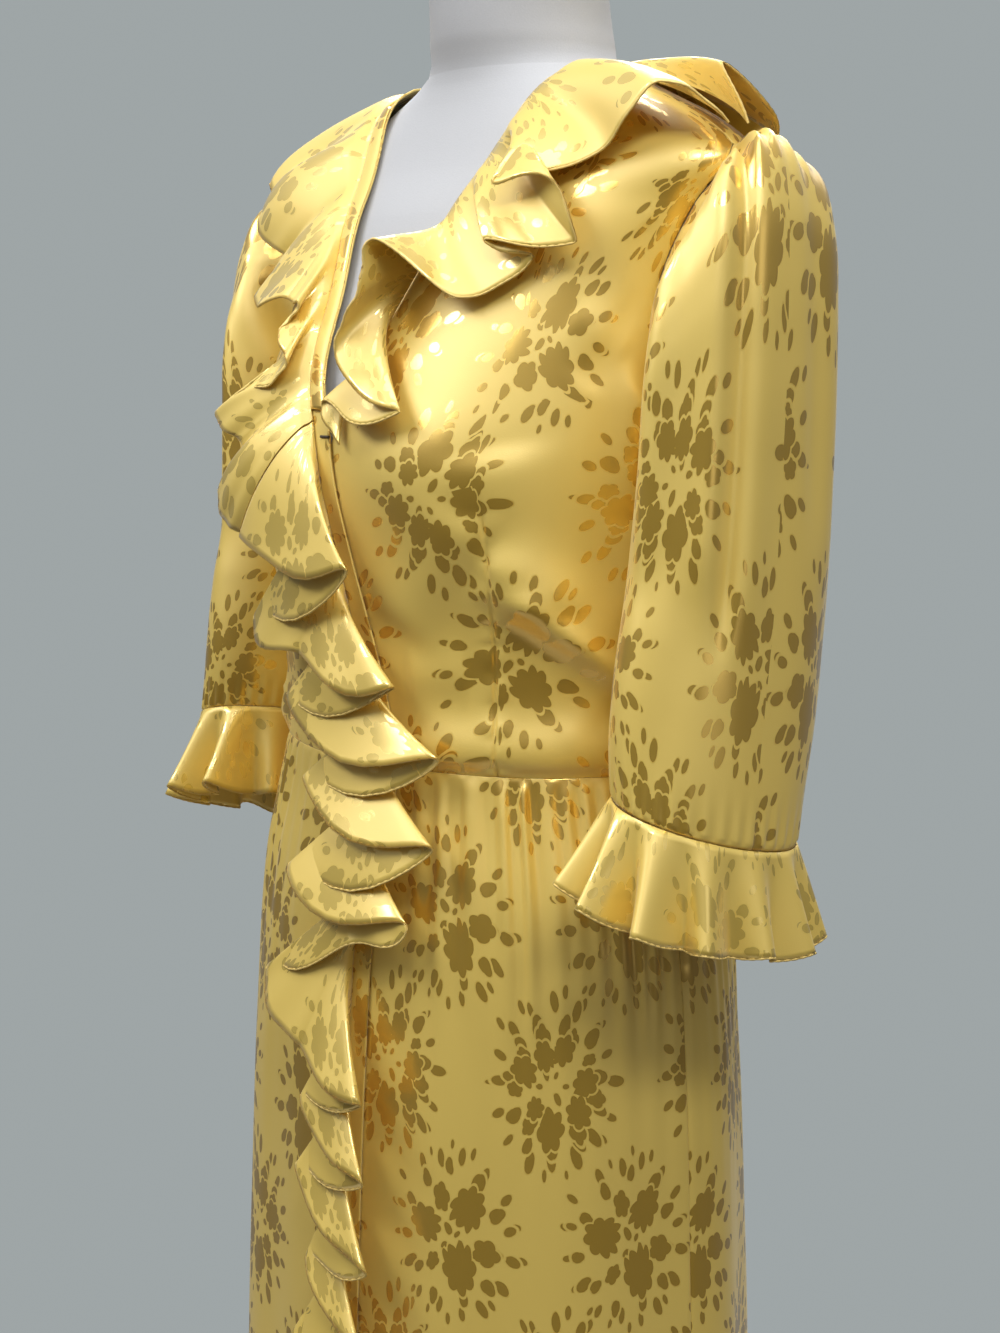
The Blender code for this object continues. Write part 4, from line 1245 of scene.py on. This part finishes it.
def cuff_flounce(columns, across):
    """Points of the left cuff ruffle from its seam to its hem. A flute that
    reaches far out drops a little less."""
    turn = ring_angles(columns)
    seam = sleeve_rings(turn)[-1]
    away = seam - seam.mean(axis=0)
    away[:, 2] = 0
    away = away / np.linalg.norm(away, axis=1, keepdims=True)
    table = np.vstack([CUFF_FLUTES, CUFF_FLUTES[0] + np.array([360, 0, 0])])
    table[:, 1] = CUFF_MIDDLE + CUFF_SWING * (table[:, 1] - CUFF_MIDDLE)
    degree = np.degrees(turn)
    row = np.clip(np.searchsorted(table[:, 0], degree, side="right") - 1, 0, len(table) - 2)
    part = (degree - table[row, 0]) / (table[row + 1, 0] - table[row, 0])
    blend = (0.5 - 0.5 * np.cos(np.pi * part))[:, None]
    reach, drop = (table[row, 1:] + (table[row + 1, 1:] - table[row, 1:]) * blend).T[:, :, None]
    down = np.array([0.02, 0.0, -1.0])
    rows = []
    for w in np.linspace(0, 1, across + 1):
        fall = SEAM_GAP + 0.0001 + drop * w * (1 - 0.25 * (reach / 0.04) ** 2 * w)
        rows.append(seam + away * reach * w ** 0.9 + down * fall)
    return np.array(rows)


cuff = cuff_flounce(420, 16)
sew_ruffle("cuff_ruffle_left", cuff, (0.01, 0.04), around=True)
sew_ruffle("cuff_ruffle_right", mirrored(cuff), (0.05, 0.09), outward=False, around=True)

# %% [markdown]
# A narrow band of the same satin binds the neckline of the right front,
# between its edge and the ruffle. A bevel could round the edge, but a real
# binding is a strip of its own, so a small section is carried along the edge.

# %% The band along the right front's edge
# Section of the band: distance inside the edge and rise above the front.
BAND_SECTION = (
    (0.0001, 0.0001),
    (0.0006, 0.0008),
    (0.0020, 0.0012),
    (0.0060, 0.0013),
    (0.0100, 0.0012),
    (0.0122, 0.0009),
    (0.0128, 0.0002),
)
heights = np.linspace(0.205, 0.388, 90)
band = []
for inset, rise in BAND_SECTION:
    angle = angle_at(-edge_x(heights) - inset, heights)
    band.append(place(angle, heights, CLOTH + overlap_lift(angle, heights) + rise))
sew_panel("neck_binding_right", np.array(band), False, (0.0, 0.02),
          wall=BAND_CLOTH)

# %% [markdown]
# The dress form is a padded torso in pale jersey, limbless and headless. Only
# its neck and a sliver of its chest show. It could be a bare neck, but seen
# from below or behind the form has to be whole. A cap closes the neck, and a
# pole and a round base hold it up.

# %% The form
# Sections of the form: height, half width, front depth, back depth, centre y.
FORM = np.array([
    (-0.300, 0.146, 0.104, 0.112, 0.000),
    (-0.285, 0.158, 0.114, 0.122, 0.000),
    (-0.180, 0.163, 0.117, 0.122, 0.000),
    (-0.080, 0.156, 0.112, 0.116, 0.000),
    (0.000, 0.142, 0.104, 0.103, 0.000),
    (0.060, 0.141, 0.105, 0.099, 0.000),
    (0.120, 0.146, 0.109, 0.100, 0.000),
    (0.178, 0.150, 0.112, 0.104, 0.000),
    (0.235, 0.151, 0.103, 0.108, 0.003),
    (0.280, 0.153, 0.087, 0.104, 0.007),
    (0.320, 0.164, 0.074, 0.096, 0.012),
    (0.347, 0.180, 0.0615, 0.083, 0.016),
    (0.368, 0.1560, 0.0550, 0.0710, 0.020),
    (0.386, 0.1100, 0.0510, 0.0610, 0.024),
    (0.397, 0.0840, 0.0495, 0.0570, 0.026),
    (0.405, 0.0690, 0.0495, 0.0530, 0.027),
    (0.424, 0.0600, 0.0520, 0.0540, 0.0255),
    (0.450, 0.0565, 0.0520, 0.0540, 0.0230),
    (0.500, 0.0560, 0.0530, 0.0550, 0.0200),
])

# Height of the neck's top, and height and share of width of the cap's rings.
NECK_TOP = 0.500
CAP_RINGS = ((0.0003, 1.0), (0.008, 1.0), (0.011, 0.94))


def form_rings(heights, count):
    """Level rings of the form, a row for each height."""
    return body_point(ring_angles(count)[None, :], np.array(heights)[:, None], FORM)


def closed_ends(grid):
    """Grid with both ends drawn in to their middle point by small rings."""
    low, high = grid[0].mean(axis=0), grid[-1].mean(axis=0)
    inner = [low + (grid[0] - low) * s for s in (0.0005, 0.5, 0.97)]
    outer = [high + (grid[-1] - high) * s for s in (0.97, 0.5, 0.0005)]
    return np.concatenate([np.array(inner), grid, np.array(outer)])


body_rows = np.unique(np.concatenate([np.linspace(FORM[0, 0], NECK_TOP, 120), FORM[:, 0]]))
torso = surface("form_cover", closed_ends(form_rings(body_rows, 120)), around=True)
finish_piece(torso, jersey, ["form_torso"])

neck = form_rings([NECK_TOP], 80)[0]
middle = np.array([0.0, FORM[-1, 4], 0.0])
cap_rings = []
for rise, share in CAP_RINGS:
    size = np.array([share, share, 1.0])
    cap_rings.append((neck - middle) * size + middle + np.array([0.0, 0.0, rise]))
cap = surface("neck_cap", closed_ends(np.array(cap_rings)), around=True)
finish_piece(cap, enamel, ["form_neck_cap"])
print("form", len(torso.data.vertices), "points, cap", len(cap.data.vertices))

# %% [markdown]
# The stand is a thin pole on a round base, and a short dark bar marks the hook
# at the point of the V. Ready-made cylinders could be bevelled, but a turned
# profile holds the rounded rim in a few pairs of numbers, and the bar is a ring
# of points carried over the cloth, so that it keeps its height above it.

# %% The pole, the base and the hook
# Radius and height pairs of the pole and of the base, whose rim is rounded.
POLE = ((0.0125, 0.0123), (0.0125, 0.3), (0.0125, WAIST + FORM[0, 0] - 0.0003))
BASE = (
    (0.1885, 0.0),
    (0.1897, 0.0005),
    (0.190, 0.0015),
    (0.190, 0.009),
    (0.1893, 0.0107),
    (0.188, 0.0117),
    (0.187, 0.012),
)

# Thread hook at the point of the V: height, lift, radius and place of its middle.
HOOK_HEIGHT = 0.190
HOOK_LIFT = 0.0041
HOOK_RADIUS = 0.0008
HOOK_X = -0.0035


def lathe(name, profile, count):
    """Surface of revolution about Z: radius and height pairs, turned."""
    radius, height = np.array(profile).T[:, :, None]
    turn = ring_angles(count)[None, :]
    grid = np.stack([radius * np.cos(turn), radius * np.sin(turn), height + 0 * turn], -1)
    return surface(name, closed_ends(grid), around=True)


finish_piece(lathe("pole", POLE, 48), enamel, ["stand_pole"])
finish_piece(lathe("base", BASE, 128), enamel, ["stand_base"])

turn = ring_angles(10)
hook_heights = HOOK_HEIGHT + HOOK_RADIUS * np.sin(turn)
hook_lifts = HOOK_LIFT + HOOK_RADIUS * np.cos(turn)
hook = []
for x in np.linspace(-0.004, 0.004, 9):
    hook.append(place(angle_at(x + HOOK_X, hook_heights), hook_heights, hook_lifts))
hook = np.array(hook)
finish_piece(surface("hook_bar", closed_ends(hook), around=True), dark_thread, ["neck_hook"])
print("stand", len(POLE), "and", len(BASE), "profile points, hook at height", WAIST + HOOK_HEIGHT)

# %% [markdown]
# A plain floor and a dim room with soft lamps light the satin. One lamp would
# show its shape, but satin lives on what it mirrors: a window strip stands
# where the upper chest mirrors it, and panels where the sleeve heads and the
# shoulder do, while the dark sides of the room darken the flowers elsewhere.

# %% The floor and the lamps
# Size and level of the floor, and the point that all lamps face.
FLOOR_RADIUS = 1.1
FLOOR_LEVEL = -0.0005
LAMP_TARGET = np.array([0.0, 0.0, 1.25])

turn = ring_angles(96)
floor_rings = []
for radius in (0.001, FLOOR_RADIUS / 2, FLOOR_RADIUS):
    floor_rings.append(np.stack([radius * np.cos(turn), radius * np.sin(turn), 0 * turn + FLOOR_LEVEL], -1))
floor = surface("floor", np.array(floor_rings), outward=False, around=True)
floor.data.materials.append(plain_material("grey floor", (0.30, 0.29, 0.27), 0.8, 3.0, 0.0002))


def way_at(azimuth, elevation):
    """Unit vector towards an azimuth round the dress, 0 in front of it."""
    level = np.cos(elevation)
    return np.array([np.sin(azimuth) * level, -np.cos(azimuth) * level, np.sin(elevation)])


def lamp(name, azimuth, elevation, distance, wide, tall, power, colour=(1.0, 1.0, 1.0)):
    """Soft lamp that faces the chest."""
    azimuth, elevation = np.radians(azimuth), np.radians(elevation)
    data = bpy.data.lights.new(name, "AREA")
    data.shape = "RECTANGLE"
    data.size = wide
    data.size_y = tall
    data.energy = power
    data.color = colour
    made = bpy.data.objects.new(name, data)
    made.location = (LAMP_TARGET + way_at(azimuth, elevation) * distance).tolist()
    made.rotation_euler = (np.pi / 2 - elevation, 0.0, azimuth)
    bpy.context.scene.collection.objects.link(made)


lamp("overhead softbox", 60, 78, 2.1, 1.6, 1.6, 24)
lamp("window strip", -22, 39, 2.2, 1.9, 0.6, 34, (0.98, 0.99, 1.0))
lamp("sleeve panel", 66, 42, 2.2, 1.1, 0.35, 24)
lamp("shoulder panel", -140, 46, 2.2, 1.5, 1.0, 48)
lamp("room fill", 100, 8, 2.8, 1.4, 1.4, 4, (1.0, 0.99, 0.97))
lamp("back fill", 190, 35, 2.8, 1.6, 1.6, 8)
print("lamps", len(bpy.data.lights), "floor radius", FLOOR_RADIUS)

# %% The room
# Colours of the room from floor to ceiling, with the place of each in the ramp.
ROOM = ((0.30, (0.15, 0.125, 0.09)), (0.55, (0.185, 0.185, 0.18)), (0.80, (1.0, 1.0, 0.98)))
BACKDROP = (0.72, 0.79, 0.80)

world = bpy.data.worlds.new("room")
world.use_nodes = True
bpy.context.scene.world = world
room = world.node_tree
direction = add_node(room, "ShaderNodeTexCoord")
upward = add_node(room, "ShaderNodeSeparateXYZ", Vector=direction.outputs["Generated"])
ramp = add_node(room, "ShaderNodeValToRGB", Fac=calc(room, "MULTIPLY_ADD", upward.outputs[2], 0.5, 0.5))
stops = ramp.color_ramp.elements
stops.new(ROOM[1][0])
for stop, (position, colour) in zip(stops, ROOM):
    stop.position = position
    stop.color = (*colour, 1.0)
seen = add_node(room, "ShaderNodeLightPath")
shown = mix_colours(room, seen.outputs["Is Camera Ray"], ramp.outputs[0], BACKDROP)
feed(room, room.nodes["Background"].inputs["Color"], shown)
feed(room, room.nodes["Background"].inputs["Strength"], 0.48)
print("room colours", len(stops))

# %% [markdown]
# The camera stands to the wearer's left at chest height, as near as the
# photograph was taken from. It could be moved by eye until the pictures agree,
# but a height, a distance, a turn and a pitch can be checked one by one.

# %% The camera
# The photograph's height in pixels, the camera's focal length in the same
# pixels, and how far the dress's axis lies beside the middle of the photograph.
PHOTO_HEIGHT = 1333
PIXELS_PER_UNIT = 2097.0
PIXELS_ASIDE = 11
SENSOR = 36.0
CAMERA_AZIMUTH = np.radians(50)
CAMERA_PITCH = np.radians(8.7)
CAMERA_DISTANCE = 1.30
CAMERA_HEIGHT = WAIST + 0.243

camera_data = bpy.data.cameras.new("camera")
camera_data.sensor_fit = "VERTICAL"
camera_data.sensor_height = SENSOR
camera_data.lens = PIXELS_PER_UNIT / PHOTO_HEIGHT * SENSOR
camera = bpy.data.objects.new("camera", camera_data)
bpy.context.scene.collection.objects.link(camera)
aside = way_at(CAMERA_AZIMUTH + np.pi / 2, 0.0) * (PIXELS_ASIDE / PIXELS_PER_UNIT * CAMERA_DISTANCE)
eye = way_at(CAMERA_AZIMUTH, 0.0) * CAMERA_DISTANCE + np.array([0.0, 0.0, CAMERA_HEIGHT]) + aside
camera.location = eye.tolist()
camera.rotation_euler = (np.pi / 2 - CAMERA_PITCH, 0.0, CAMERA_AZIMUTH)
bpy.context.scene.camera = camera
bpy.context.scene.view_settings.view_transform = "Standard"
print("camera at", eye.round(3))
